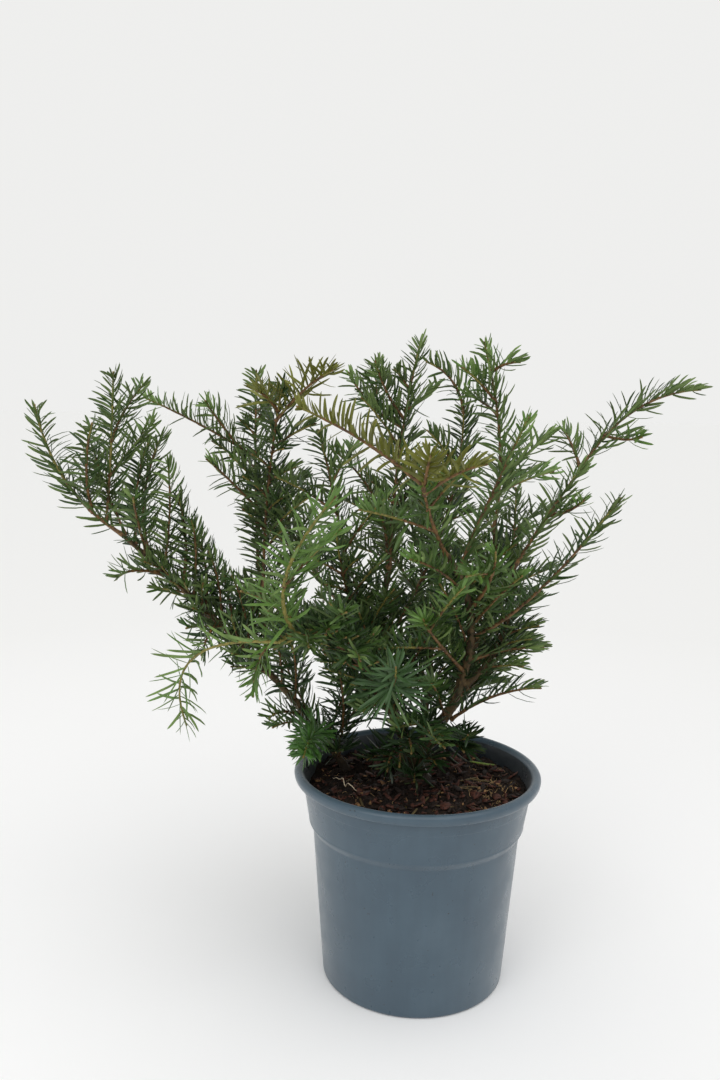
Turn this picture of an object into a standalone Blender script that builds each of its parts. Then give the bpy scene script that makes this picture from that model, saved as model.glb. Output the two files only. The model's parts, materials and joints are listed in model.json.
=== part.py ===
"""Young spreading english yew standing in its nursery pot.

Metres, +Z up, origin at the middle of the pot's flat underside. X runs to the right and Y away from
whoever stands in front of the plant. The tables give places in centimetres and radii in millimetres.
"""

import math
import random

import bmesh
import bpy
import numpy as np

CM = 0.01
MM = 0.001
GAP = 0.0003

# Pot: a thin moulded cone with a stepped collar and a rolled lip.
POT_SIDES = 48
POT_HEIGHT = 0.165
FOOT_RADIUS = 0.0705
FOOT_CHAMFER = 0.002
STEP_HEIGHT = 0.119
STEP_RADIUS = 0.0800
COLLAR_HEIGHT = 0.124
COLLAR_RADIUS = 0.0830
LIP_RADIUS = 0.0950
LIP_BEAD = 0.0040
LIP_ROOT_RADIUS = 0.0885
POT_WALL = 0.0020
POT_FLOOR = 0.0025
DRAIN_HOLES = 6
DRAIN_RADIUS = 0.0055
DRAIN_CIRCLE = 0.050

# Potting mix, and the low stool that the stems rise from; one more comes up through the mix beside it.
SOIL_LEVEL = 0.151
TRUNK_MIDDLE = (-0.002, 0.016)
TRUNK_TOP = 0.168
TRUNK_RADIUS = 0.0115
TRUNK_FLARE = 0.0150
TRUNK_SIDES = 16

# Needles, drawn fewer and a little larger than life.
NEEDLE_LENGTH = 0.0235
NEEDLE_WIDTH = 0.0040
NEEDLE_PITCH = 0.0125
NEEDLE_LEAN = math.radians(52)
NEEDLE_LEAN_AT_TIP = math.radians(30)
NEEDLE_BARE_ROOT = 0.009
NEEDLE_SHORTER = (1.0, 0.72, 0.5)
NEEDLE_POT_MARGIN = 0.002
BUD_LENGTH = 0.007
SPACE_MARGIN = 0.0006

# Limbs: the radii of a shoot that starts a mass, of one that leaves another shoot, of a twig, and of every tip.
MASS_STEM_RADIUS = 0.0015
SIDE_SHOOT_RADIUS = 0.0012
TWIG_RADIUS = 0.0010
SHOOT_TIP_RADIUS = 0.0008
BOUGH_SIDES = 7
BOUGH_RING_STEP = 0.03

# Twigs that the seeded rule adds between those of the table.
TWIG_ANGLE = math.radians(48)
TWIG_LENGTH = 0.062
TWIG_CLEARANCE = 0.007
TWIG_POT_MARGIN = 0.006
TWIG_ROOT_POINTS = 4
SKELETON_STEP = 0.002

GREENS = {
    "dark": (0.030, 0.075, 0.032),
    "green": (0.050, 0.120, 0.042),
    "fresh": (0.150, 0.290, 0.060),
    "bronze": (0.170, 0.180, 0.045),
}

# Boughs: name, what it grows from, place along that (a pair is a spot on the trunk's top or the soil),
# tip, how far its middle bows away from the straight line, and the radius at each end.
BOUGHS = (
    ("right_bough", "trunk", (0.45, 1.5), (1.2, -6.0, 34.0), (3.0, 2.6, 0.6), 3.9, 2.3),
    ("left_low_bough", "soil", (-5.6, 2.8), (-9.2, 2.5, 20.2), (0.3, 0.0, -0.2), 3.0, 2.8),
    ("middle_bough", "trunk", (-0.35, 2.15), (-2.3, 5.7, 31.0), (-1.3, 0.6, 0.0), 3.2, 2.1),
    ("front_bough", "trunk", (-0.45, 0.95), (-10.0, -10.0, 28.6), (-0.3, -0.5, 4.2), 2.6, 1.3),
    ("back_bough", "trunk", (0.35, 2.25), (1.6, 11.0, 28.0), (0.3, -0.6, 1.2), 2.8, 1.9),
    ("left_bough", "left_low_bough", 1.0, (-22.5, -0.7, 34.3), (0.2, 0.9, -0.1), 2.7, 1.7),
    ("column_bough", "left_bough", 0.22, (-13.0, 5.5, 31.0), (0.2, -0.3, 0.0), 2.1, 1.6),
    ("inner_left_bough", "middle_bough", 0.16, (-5.5, 4.0, 28.5), (-0.5, -0.4, 0.4), 2.0, 1.5),
    ("right_top_bough", "right_bough", 0.44, (5.6, 2.2, 35.0), (0.7, 0.3, -0.5), 2.2, 1.7),
    ("long_right_bough", "right_bough", 0.28, (7.0, 0.8, 32.0), (0.9, 0.2, -0.9), 2.4, 1.8),
    ("back_left_bough", "middle_bough", 0.30, (-6.5, 9.5, 27.5), (-0.4, 0.5, -0.8), 2.1, 1.5),
    ("back_right_bough", "right_bough", 0.14, (6.0, 8.0, 26.0), (0.4, 0.5, -0.9), 2.2, 1.5),
)

# Shoots: name, parent, place along it, tip, bow, green, and the number of twigs that the rule adds.
# One whose parent is a bough is the stem of a mass; the others are that mass's own longer twigs.
SHOOTS = (
    ("left_tip", "left_bough", 1.0, (-28.3, -2.0, 43.6), (-0.9, -0.1, -0.8), "green", 0),
    ("left_tip_front", "left_tip", 0.24, (-23.7, -4.0, 42.4), (-0.4, 0.0, 0.0), "green", 0),
    ("left_tip_tall", "left_tip", 0.12, (-23.4, 1.0, 46.1), (0.0, 0.3, 0.0), "green", 0),
    ("left_tip_back", "left_tip_tall", 0.55, (-21.6, 3.0, 45.4), (-0.2, 0.0, 0.2), "green", 0),
    ("left_upright", "left_bough", 0.86, (-20.4, 4.0, 41.6), (-1.1, 0.8, -0.3), "green", 0),
    ("left_tip_inner", "left_tip_tall", 0.32, (-21.3, 5.0, 42.6), (-0.2, 0.2, -0.2), "green", 0),
    ("left_inner", "left_bough", 0.70, (-18.7, 1.4, 37.0), (0.3, 0.5, 0.0), "dark", 0),
    ("left_low", "left_bough", 0.77, (-22.3, -3.0, 31.4), (-0.3, -0.5, 0.5), "green", 0),
    ("left_short", "left_bough", 0.58, (-17.4, 2.8, 33.6), (0.3, 0.2, 0.0), "dark", 0),
    ("left_stub", "left_bough", 0.40, (-15.6, 3.6, 31.0), (0.0, 0.3, 0.0), "dark", 0),
    ("left_under", "left_bough", 0.50, (-16.4, -1.8, 25.6), (0.0, -0.3, 0.4), "dark", 0),
    ("left_shoulder", "left_bough", 0.24, (-13.4, 3.8, 29.6), (-0.2, 0.2, 0.0), "dark", 0),
    ("left_foot", "left_low_bough", 0.80, (-11.4, -0.8, 20.4), (-0.2, 0.0, 0.5), "dark", 0),
    ("column", "column_bough", 1.0, (-13.5, 8.0, 46.7), (-0.2, 0.6, 0.0), "dark", 3),
    ("column_arm", "column", 0.56, (-22.3, 7.0, 44.4), (0.0, 0.3, 0.2), "green", 0),
    ("column_arm_up", "column_arm", 0.16, (-17.3, 6.0, 44.2), (-0.3, 0.0, 0.3), "green", 0),
    ("column_left", "column", 0.30, (-17.0, 5.0, 39.6), (-0.2, 0.0, 0.3), "green", 0),
    ("column_second", "column_bough", 0.62, (-10.6, -1.0, 45.6), (-0.6, 2.6, -0.2), "dark", 3),
    ("column_fan_left", "column_second", 0.88, (-12.3, -2.0, 45.0), (0.0, 0.0, 0.2), "bronze", 0),
    ("column_fan_right", "column_second", 0.84, (-7.0, -3.0, 46.5), (0.0, 0.0, 0.4), "bronze", 0),
    ("thin_upright", "inner_left_bough", 1.0, (-8.1, 3.0, 42.1), (0.2, 0.5, 0.3), "green", 3),
    ("inner_upright", "middle_bough", 0.84, (-7.1, 6.0, 40.6), (1.3, 0.3, 0.6), "green", 2),
    ("middle_top", "middle_bough", 1.0, (-0.2, 7.0, 49.4), (-0.5, 0.1, 0.0), "dark", 3),
    ("middle_top_left", "middle_top", 0.62, (-5.9, 8.0, 46.7), (-0.3, 0.2, -0.4), "green", 1),
    ("middle_top_front", "middle_top", 0.66, (-3.8, 5.0, 47.5), (-0.2, 0.0, -0.2), "green", 0),
    ("middle_top_right", "middle_top", 0.70, (1.4, 8.2, 45.9), (-0.2, 0.0, -0.3), "green", 0),
    ("right_middle", "middle_bough", 0.56, (3.2, 5.0, 44.3), (1.6, 0.2, 0.3), "dark", 4),
    ("right_middle_hook", "right_middle", 0.97, (0.3, 5.0, 47.6), (0.5, 0.0, 0.5), "green", 0),
    ("centre_left", "middle_bough", 0.40, (-6.6, 0.6, 34.6), (-0.5, 0.4, -0.8), "dark", 4),
    ("centre_front", "right_bough", 0.37, (-0.3, -7.0, 29.6), (-0.6, -0.6, 0.6), "green", 2),
    ("front_short", "middle_bough", 0.10, (-4.7, -2.6, 29.0), (-0.4, 1.0, 0.8), "dark", 3),
    ("front_rosette", "front_bough", 0.30, (-2.2, -9.0, 26.7), (0.4, -0.3, -0.7), "green", 0),
    ("low_centre", "right_bough", 0.10, (-0.9, -4.6, 21.4), (0.2, -0.4, 0.4), "dark", 2),
    ("low_tuft", "front_bough", 0.07, (-1.5, -2.8, 17.6), (0.0, 0.0, 0.3), "dark", 0),
    ("right_foot", "right_bough", 0.05, (4.0, -0.8, 18.2), (0.0, 0.0, 0.3), "dark", 1),
    ("front_arch", "right_bough", 1.0, (-1.0, -13.0, 39.4), (-0.2, 0.3, 0.0), "bronze", 2),
    ("front_arch_left", "front_arch", 0.97, (-8.6, -13.0, 43.9), (0.2, 0.0, 0.3), "bronze", 0),
    ("front_arch_near", "front_arch", 0.92, (-0.8, -16.0, 41.2), (0.0, 0.0, 0.2), "bronze", 0),
    ("front_arch_right", "front_arch", 0.86, (2.6, -14.0, 40.7), (0.0, 0.0, 0.3), "bronze", 0),
    ("right_top", "right_top_bough", 1.0, (4.3, 2.0, 48.9), (0.8, 0.0, -0.3), "green", 2),
    ("right_top_out", "right_top", 0.86, (6.6, 0.0, 47.5), (0.0, 0.0, 0.2), "green", 0),
    ("right_top_in", "right_top", 0.64, (3.3, 4.0, 45.2), (0.0, 0.0, 0.2), "green", 0),
    ("right_inner", "right_bough", 0.90, (6.6, -5.0, 43.4), (-0.1, 0.6, -0.3), "green", 1),
    ("right_fill", "right_bough", 0.70, (4.4, -7.5, 34.4), (0.4, 0.0, 0.0), "green", 1),
    ("long_right", "long_right_bough", 1.0, (12.2, 1.9, 40.0), (-0.1, 0.1, 0.0), "green", 0),
    ("long_right_end", "long_right", 0.98, (20.6, 2.0, 45.8), (-0.5, 0.2, 1.3), "green", 0),
    ("long_right_up", "long_right", 0.96, (10.9, 4.0, 42.6), (0.0, 0.0, 0.3), "green", 0),
    ("long_right_out", "long_right_end", 0.24, (15.6, -1.0, 42.2), (0.2, 0.0, -0.2), "green", 0),
    ("long_right_low", "long_right", 0.52, (11.7, -0.6, 37.4), (0.2, 0.0, -0.2), "green", 0),
    ("right_arm", "right_bough", 0.54, (13.5, -4.0, 37.9), (-0.3, 0.0, -1.4), "green", 0),
    ("right_low", "right_bough", 0.42, (8.9, 0.0, 26.1), (0.0, 0.2, 0.2), "green", 0),
    ("right_back_low", "right_bough", 0.22, (7.3, 5.0, 24.4), (0.0, 0.3, -0.2), "dark", 0),
    ("right_droop", "right_bough", 0.11, (9.0, -1.0, 23.2), (0.0, 0.4, 0.5), "dark", 0),
    ("low_left", "front_bough", 1.0, (-17.2, -4.0, 20.9), (-2.6, 0.0, 1.8), "fresh", 0),
    ("fresh_front", "front_bough", 0.88, (-6.4, -14.0, 38.5), (-1.6, -0.7, -0.4), "fresh", 1),
    ("fresh_tuft", "left_low_bough", 0.55, (-8.5, -5.6, 19.2), (0.0, 0.0, 1.0), "fresh", 0),
    ("back_top", "back_bough", 1.0, (2.0, 17.5, 39.5), (0.0, 1.2, -0.8), "dark", 5),
    ("back_centre", "back_bough", 0.76, (-4.2, 16.0, 38.0), (-0.3, 0.8, -0.8), "dark", 4),
    ("back_low", "back_bough", 0.52, (2.6, 18.5, 26.8), (0.0, 0.6, -0.2), "dark", 3),
    ("back_left", "back_left_bough", 1.0, (-12.6, 15.0, 38.0), (-0.8, 0.8, -0.8), "dark", 5),
    ("back_left_low", "back_left_bough", 0.60, (-9.6, 15.2, 24.6), (-0.4, 0.4, 0.3), "dark", 3),
    ("back_right", "back_right_bough", 1.0, (9.2, 15.0, 37.0), (0.8, 0.6, -0.8), "dark", 3),
    ("back_right_low", "back_right_bough", 0.60, (9.0, 12.0, 25.6), (0.3, 0.4, 0.4), "dark", 1),
)


def clear_scene():
    """Removes every object, so that only the plant and its pot are in the file."""
    for thing in list(bpy.data.objects):
        bpy.data.objects.remove(thing, do_unlink=True)


def plain_material(name, colour, roughness):
    """A matt material of one colour, shown the same in the viewport."""
    material = bpy.data.materials.new(name)
    material.use_nodes = True
    shader = material.node_tree.nodes["Principled BSDF"]
    shader.inputs["Base Color"].default_value = (*colour, 1.0)
    shader.inputs["Roughness"].default_value = roughness
    shader.inputs["Metallic"].default_value = 0.0
    material.diffuse_color = (*colour, 1.0)
    return material


def add_object(name, points, faces, material):
    """A mesh object from points and faces, under a plain name."""
    mesh = bpy.data.meshes.new(name)
    mesh.from_pydata([tuple(float(c) for c in p) for p in points], [], faces)
    mesh.validate()
    made = bpy.data.objects.new(name, mesh)
    bpy.context.scene.collection.objects.link(made)
    made.data.materials.append(material)
    return made


def shade_round(thing, angle):
    """Shades the object round, with hard edges where faces meet at more than the angle in degrees."""
    thing.data.shade_smooth()
    thing.data.set_sharp_from_angle(angle=math.radians(angle))


def turned(name, profile, sides, material, middle=(0.0, 0.0)):
    """A closed solid of revolution from (radius, height) pairs that run up the outside and back down."""
    points = []
    faces = []
    rings = []
    for radius, height in profile:
        if radius < 1e-6:
            rings.append([len(points)])
            points.append((middle[0], middle[1], height))
            continue
        rings.append(list(range(len(points), len(points) + sides)))
        for k in range(sides):
            turn = 2 * math.pi * k / sides
            points.append((middle[0] + radius * math.cos(turn), middle[1] + radius * math.sin(turn), height))
    for low, high in zip(rings, rings[1:]):
        for k in range(sides):
            n = (k + 1) % sides
            if len(low) == 1:
                faces.append((low[0], high[n], high[k]))
            elif len(high) == 1:
                faces.append((low[k], low[n], high[0]))
            else:
                faces.append((low[k], low[n], high[n], high[k]))
    return add_object(name, points, faces, material)


def apply_modifiers(thing):
    """Replaces the object's mesh by what its modifiers make of it."""
    graph = bpy.context.evaluated_depsgraph_get()
    mesh = bpy.data.meshes.new_from_object(thing.evaluated_get(graph), depsgraph=graph)
    thing.modifiers.clear()
    old = thing.data
    thing.data = mesh
    bpy.data.meshes.remove(old)


def outer_radius(height):
    """Outside of the pot's wall at a height, with its draft, step and collar."""
    if height <= STEP_HEIGHT:
        return FOOT_RADIUS + (STEP_RADIUS - FOOT_RADIUS) * height / STEP_HEIGHT
    if height <= COLLAR_HEIGHT:
        return STEP_RADIUS + (COLLAR_RADIUS - STEP_RADIUS) * (height - STEP_HEIGHT) / (COLLAR_HEIGHT - STEP_HEIGHT)
    top = POT_HEIGHT - 2 * LIP_BEAD
    return COLLAR_RADIUS + (LIP_ROOT_RADIUS - COLLAR_RADIUS) * (height - COLLAR_HEIGHT) / (top - COLLAR_HEIGHT)


def inner_radius(height):
    """Inside of the pot's wall at a height."""
    return outer_radius(height) - POT_WALL


def build_pot():
    """The wall, collar, rolled lip and floor as one turned solid, with the drains cut through the floor."""
    plastic = plain_material("pot_plastic", (0.090, 0.125, 0.160), 0.45)
    under_lip = POT_HEIGHT - 2 * LIP_BEAD
    profile = [(0.0, 0.0), (FOOT_RADIUS - FOOT_CHAMFER, 0.0), (outer_radius(FOOT_CHAMFER), FOOT_CHAMFER)]
    for height in (STEP_HEIGHT, COLLAR_HEIGHT, under_lip):
        profile.append((outer_radius(height), height))
    for degrees in (-60, -20, 20, 60, 90):
        turn = math.radians(degrees)
        profile.append(
            (
                LIP_RADIUS - LIP_BEAD + LIP_BEAD * math.cos(turn),
                POT_HEIGHT - LIP_BEAD + LIP_BEAD * math.sin(turn),
            )
        )
    profile.append((LIP_ROOT_RADIUS + 0.0008, POT_HEIGHT - 0.0012))
    for height in (under_lip, COLLAR_HEIGHT + 0.002, STEP_HEIGHT, POT_FLOOR):
        profile.append((inner_radius(height), height))
    profile.append((0.0, POT_FLOOR))
    pot = turned("pot", profile, POT_SIDES, plastic)
    cutters = bpy.data.collections.new("drain_cutters")
    bpy.context.scene.collection.children.link(cutters)
    for k in range(DRAIN_HOLES):
        turn = 2 * math.pi * (k + 0.5) / DRAIN_HOLES
        middle = (DRAIN_CIRCLE * math.cos(turn), DRAIN_CIRCLE * math.sin(turn))
        column = [(0.0, -0.01), (DRAIN_RADIUS, -0.01), (DRAIN_RADIUS, 0.01), (0.0, 0.01)]
        drill = turned(f"drain_cutter_{k + 1}", column, 12, plastic, middle)
        bpy.context.scene.collection.objects.unlink(drill)
        cutters.objects.link(drill)
    cut = pot.modifiers.new("drains", "BOOLEAN")
    cut.operation = "DIFFERENCE"
    cut.operand_type = "COLLECTION"
    cut.collection = cutters
    cut.solver = "EXACT"
    apply_modifiers(pot)
    for drill in list(cutters.objects):
        bpy.data.objects.remove(drill, do_unlink=True)
    bpy.data.collections.remove(cutters)
    shade_round(pot, 30)


def build_soil():
    """Potting mix as a turned plug that follows the inside of the wall, a hair clear of it."""
    mix = plain_material("potting_mix", (0.040, 0.024, 0.016), 0.95)
    low = POT_FLOOR + GAP
    profile = [(0.0, low)]
    for height in (low, STEP_HEIGHT, COLLAR_HEIGHT + 0.002, SOIL_LEVEL):
        profile.append((inner_radius(height) - 2 * GAP, height))
    profile.append((0.0, SOIL_LEVEL))
    soil = turned("soil", profile, POT_SIDES, mix)
    shade_round(soil, 30)


def build_trunk(bark):
    """Low stool with a root flare: it widens to the soil as the cube of the way down."""
    low = SOIL_LEVEL + GAP
    profile = [(0.0, low)]
    for step in range(5):
        up = step / 4
        profile.append((TRUNK_RADIUS + (TRUNK_FLARE - TRUNK_RADIUS) * (1 - up) ** 3, low + (TRUNK_TOP - low) * up))
    profile.append((0.0, TRUNK_TOP))
    trunk = turned("trunk", profile, TRUNK_SIDES, bark, TRUNK_MIDDLE)
    shade_round(trunk, 40)


def unit(vector):
    """The vector at length one."""
    return vector / np.linalg.norm(vector)


class Stem:
    """A limb, shoot or twig: a quadratic curve from its root to its tip, with a radius at each end."""

    def __init__(self, name, node, root, tip, bow, root_radius, tip_radius, cut=None):
        self.name = name
        self.cut = cut
        self.node = node
        self.root = np.array(root, float)
        self.tip = np.array(tip, float)
        self.control = (self.root + self.tip) / 2 + 2 * np.array(bow, float)
        self.radii = (root_radius, tip_radius)
        self.length = float(np.linalg.norm(np.diff(self.curve(np.linspace(0, 1, 33)), axis=0), axis=1).sum())

    def curve(self, along):
        """Points at the shares of the way from root to tip."""
        t = np.atleast_1d(along)[:, None]
        return (1 - t) ** 2 * self.root + 2 * t * (1 - t) * self.control + t**2 * self.tip

    def heading(self, along):
        """The way the stem runs there, at length one."""
        t = np.atleast_1d(along)[:, None]
        slope = (1 - t) * (self.control - self.root) + t * (self.tip - self.control)
        return slope / np.linalg.norm(slope, axis=1)[:, None]

    def radius(self, along):
        """Its thickness there, tapering straight from root to tip."""
        return self.radii[0] + (self.radii[1] - self.radii[0]) * np.asarray(along, float)

    def skeleton(self):
        """Evenly spaced points along the stem, and its radius at each."""
        count = max(3, int(self.length / SKELETON_STEP) + 1)
        along = np.linspace(0, 1, count)
        return self.curve(along), self.radius(along)


def frames(headings):
    """Two sideways directions at each point of a stem, carried along it without twist."""
    first = headings[0]
    guide = np.array((0.0, -1.0, 0.0)) if abs(first[2]) > 0.8 else np.array((0.0, 0.0, 1.0))
    across = unit(np.cross(first, guide))
    rows = []
    for heading in headings:
        across = unit(across - heading * float(across @ heading))
        rows.append((across, np.cross(heading, across)))
    return rows


def start_beside(parent, along, tip, bow, own_radius):
    """First point of a stem that leaves its parent, and the plane of its cut where it carries on from a tip.

    On a parent's side the point moves out until the stem's whole first ring is GAP clear of the bark.
    """
    if along >= 0.999:
        heading = parent.heading(1.0)[0]
        return parent.tip + heading * GAP, heading
    foot = parent.curve(along)[0]
    aim = unit((foot + tip) / 2 + 2 * bow - foot)
    near = np.linspace(max(0.0, along - 0.15), min(1.0, along + 0.15), 121)
    bark_points = parent.curve(near)
    bark_radii = parent.radius(near)
    out = 0.0
    while True:
        out += 0.0001
        root = foot + aim * out
        heading = unit((root + tip) / 2 + 2 * bow - root)
        across, over = frames(np.array((heading, heading)))[0]
        turns = np.linspace(0, 2 * math.pi, 13)[:, None]
        ring = root + (across * np.cos(turns) + over * np.sin(turns)) * own_radius
        away = np.linalg.norm(ring[:, None] - bark_points[None], axis=2) - bark_radii[None]
        if away.min() > GAP * 1.2:
            return root, None


def on_cut(offset, heading, cut):
    """Slides a point of the first ring along the stem on to the plane of its cut."""
    return offset if cut is None else offset - heading * float(offset @ cut) / float(heading @ cut)


def limb_mesh(stem, sides):
    """Rings of a tapering limb; one that stands on the trunk or carries on from a tip is cut to match it."""
    count = max(4, int(stem.length / BOUGH_RING_STEP) + 1)
    along = np.linspace(0, 1, count + 1)
    middles = stem.curve(along)
    headings = stem.heading(along)
    radii = stem.radius(along)
    points = []
    for row, (across, over) in enumerate(frames(headings)):
        for k in range(sides):
            turn = 2 * math.pi * k / sides
            offset = (across * math.cos(turn) + over * math.sin(turn)) * radii[row]
            if row == 0:
                offset = on_cut(offset, headings[0], stem.cut)
            points.append(middles[row] + offset)
    faces = [tuple(range(sides))[::-1]]
    for row in range(count):
        for k in range(sides):
            n = (k + 1) % sides
            low = row * sides
            high = low + sides
            faces.append((low + k, low + n, high + n, high + k))
    faces.append(tuple(count * sides + k for k in range(sides)))
    return points, faces


class Space:
    """Who holds which part of the crown: the points of every stem, with its radius and its node."""

    def __init__(self):
        self.points = np.zeros((0, 3))
        self.radii = np.zeros(0)
        self.owners = np.zeros(0, int)
        self.names = []

    def number(self, node):
        """The number that stands for a node among the owners."""
        if node not in self.names:
            self.names.append(node)
        return self.names.index(node)

    def add(self, stem):
        """Takes the stem's points into the space."""
        points, radii = stem.skeleton()
        self.points = np.vstack((self.points, points))
        self.radii = np.concatenate((self.radii, radii))
        self.owners = np.concatenate((self.owners, np.full(len(points), self.number(stem.node))))

    def allows_twig(self, stem):
        """True where the twig, past its first few millimetres, stays clear of every stem and of the pot."""
        far = stem.skeleton()[0][TWIG_ROOT_POINTS:]
        away = np.linalg.norm(far[:, None, :] - self.points[None], axis=2) - self.radii[None]
        own = self.owners == self.number(stem.node)
        if away[:, ~own].min() < TWIG_CLEARANCE:
            return False
        if away[len(far) // 3 :, own].min() < TWIG_CLEARANCE * 0.6:
            return False
        return clear_of_pot(far, TWIG_POT_MARGIN)

    def allows_needle(self, node, samples, widths):
        """True where each point of the needle is nearer its own mass's stems than any other's."""
        away = np.linalg.norm(samples[:, None, :] - self.points[None], axis=2)
        own = self.owners == self.number(node)
        mine = away[:, own].min(axis=1)
        theirs = away[:, ~own]
        if (theirs.min(axis=1) - mine < 2 * widths + SPACE_MARGIN).any():
            return False
        if ((theirs - self.radii[None, ~own]).min(axis=1) < widths + SPACE_MARGIN).any():
            return False
        return clear_of_pot(samples, NEEDLE_POT_MARGIN)


def clear_of_pot(points, margin):
    """True where every point is above the soil or outside the lip by the margin."""
    radius = np.linalg.norm(points[:, :2], axis=1)
    height = points[:, 2]
    inside = radius < inner_radius(POT_HEIGHT) - margin
    over_soil = inside & (height > SOIL_LEVEL + margin)
    over_lip = height > POT_HEIGHT + margin
    outside = radius > LIP_RADIUS + margin
    return bool((over_soil | over_lip | outside).all())


def needle_rows(stem, seed):
    """Needles along a shoot: place, which two of its three sides, length and lean, from the seeded rule."""
    draw = random.Random(seed)
    rows = []
    place = NEEDLE_BARE_ROOT
    turn = 0
    while place < stem.length - NEEDLE_WIDTH:
        along = place / stem.length
        full = 0.86 + 0.14 * math.sin(math.pi * min(1.0, along * 1.3))
        to_tip = max(0.0, (along - 0.8) / 0.2)
        size = NEEDLE_LENGTH * full * (1 - 0.35 * to_tip) * draw.uniform(0.88, 1.08)
        lean = NEEDLE_LEAN + (NEEDLE_LEAN_AT_TIP - NEEDLE_LEAN) * to_tip + math.radians(draw.uniform(-5, 5))
        rows.append((along, (turn % 3, (turn + 1) % 3), size, lean))
        place += NEEDLE_PITCH * (1 - 0.45 * to_tip)
        turn += 1
    return rows


def needled_shoot(stem, space, seed):
    """A three-sided shoot with some stretches of its sides drawn out into flat pointed needles."""
    rows = needle_rows(stem, seed)
    half = NEEDLE_WIDTH / 2 / stem.length
    stations = [0.0]
    for along, _, _, _ in rows:
        stations += [along - half, along + half]
    stations.append(1.0)
    along = np.array(stations)
    middles = stem.curve(along)
    headings = stem.heading(along)
    radii = stem.radius(along)
    sideways = frames(headings)
    points = []
    for row, (across, over) in enumerate(sideways):
        for k in range(3):
            turn = math.radians(90 + 120 * k)
            offset = (across * math.cos(turn) + over * math.sin(turn)) * radii[row]
            if row == 0:
                offset = on_cut(offset, headings[0], stem.cut)
            points.append(middles[row] + offset)
    faces = [(2, 1, 0)]
    for row in range(len(along) - 1):
        drawn = {}
        if row % 2 == 1:
            _, sides, size, lean = rows[(row - 1) // 2]
            drawn = {side: (size, lean) for side in sides}
        for k in range(3):
            n = (k + 1) % 3
            quad = (row * 3 + k, row * 3 + n, row * 3 + 3 + n, row * 3 + 3 + k)
            apex = None
            if k in drawn:
                size, lean = drawn[k]
                across, over = sideways[row]
                turn = math.radians(90 + 120 * k + 60)
                outward = across * math.cos(turn) + over * math.sin(turn)
                base = sum(points[i] for i in quad) / 4
                aim = headings[row] * math.cos(lean) + outward * math.sin(lean)
                for part in NEEDLE_SHORTER:
                    steps = np.linspace(0.0, 1.0, 7)
                    samples = base + aim * size * part * steps[:, None]
                    widths = NEEDLE_WIDTH / 2 * (1 - steps) + 0.0002
                    if space.allows_needle(stem.node, samples, widths):
                        apex = base + aim * size * part
                        break
            if apex is None:
                faces.append(quad)
            else:
                points.append(apex)
                top = len(points) - 1
                for a, b in zip(quad, quad[1:] + quad[:1]):
                    faces.append((a, b, top))
    last = (len(along) - 1) * 3
    points.append(stem.tip + headings[-1] * BUD_LENGTH)
    for k in range(3):
        faces.append((last + k, last + (k + 1) % 3, len(points) - 1))
    return points, faces


def rule_twigs(stem, count, seed):
    """Candidates for side twigs: they alternate, lean forward, and shorten toward the shoot's tip."""
    draw = random.Random(seed)
    for k in range(count):
        along = 0.16 + 0.66 * (k + draw.uniform(0.3, 0.7)) / count
        root = stem.curve(along)[0]
        heading = stem.heading(along)[0]
        across, over = frames(stem.heading(np.array((along, along))))[0]
        turn = math.radians((k % 2) * 180 + draw.uniform(-50, 50))
        outward = across * math.cos(turn) + over * math.sin(turn)
        aim = heading * math.cos(TWIG_ANGLE) + outward * math.sin(TWIG_ANGLE)
        reach = TWIG_LENGTH * (1.1 - 0.6 * along) * draw.uniform(0.8, 1.15)
        yield root, root + aim * reach, heading * reach * 0.05


def grow():
    """Every stem of the plant, in order: boughs, the shoots of the table, then the rule's twigs."""
    middle = np.array((*TRUNK_MIDDLE, 0.0))
    foot = middle + (0.0, 0.0, SOIL_LEVEL + GAP)
    top = middle + (0.0, 0.0, TRUNK_TOP)
    stems = {"trunk": Stem("trunk", "trunk", foot, top, (0.0, 0.0, 0.0), TRUNK_RADIUS * 1.06, TRUNK_RADIUS)}
    space = Space()
    space.add(stems["trunk"])
    for name, parent, place, tip, bow, thick, thin in BOUGHS:
        tip = np.array(tip) * CM
        bow = np.array(bow) * CM
        if isinstance(place, tuple):
            ground = TRUNK_TOP if parent == "trunk" else SOIL_LEVEL
            root = np.array((place[0] * CM, place[1] * CM, ground + GAP))
            cut = np.array((0.0, 0.0, 1.0))
        else:
            root, cut = start_beside(stems[parent], place, tip, bow, thick * MM)
        stems[name] = Stem(name, name, root, tip, bow, thick * MM, thin * MM, cut)
        space.add(stems[name])
    masses = {}
    bough_names = set(stems)
    for name, parent, place, tip, bow, green, _ in SHOOTS:
        tip = np.array(tip) * CM
        bow = np.array(bow) * CM
        starts_mass = parent in bough_names
        node = name if starts_mass else stems[parent].node
        thick = MASS_STEM_RADIUS if starts_mass else SIDE_SHOOT_RADIUS
        if starts_mass:
            root, cut = start_beside(stems[parent], place, tip, bow, thick)
        else:
            root, cut = stems[parent].curve(min(place, 0.98))[0], None
        stems[name] = Stem(name, node, root, tip, bow, thick, SHOOT_TIP_RADIUS, cut)
        space.add(stems[name])
        masses.setdefault(node, {"green": green, "stems": []})["stems"].append(stems[name])
    for order, (name, *_, twigs) in enumerate(SHOOTS):
        parent = stems[name]
        for k, (root, tip, bow) in enumerate(rule_twigs(parent, twigs, 100 + order)):
            twig = Stem(f"{name}_{k + 1}", parent.node, root, tip, bow, TWIG_RADIUS, SHOOT_TIP_RADIUS)
            if space.allows_twig(twig):
                space.add(twig)
                masses[parent.node]["stems"].append(twig)
    return stems, masses, space


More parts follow.
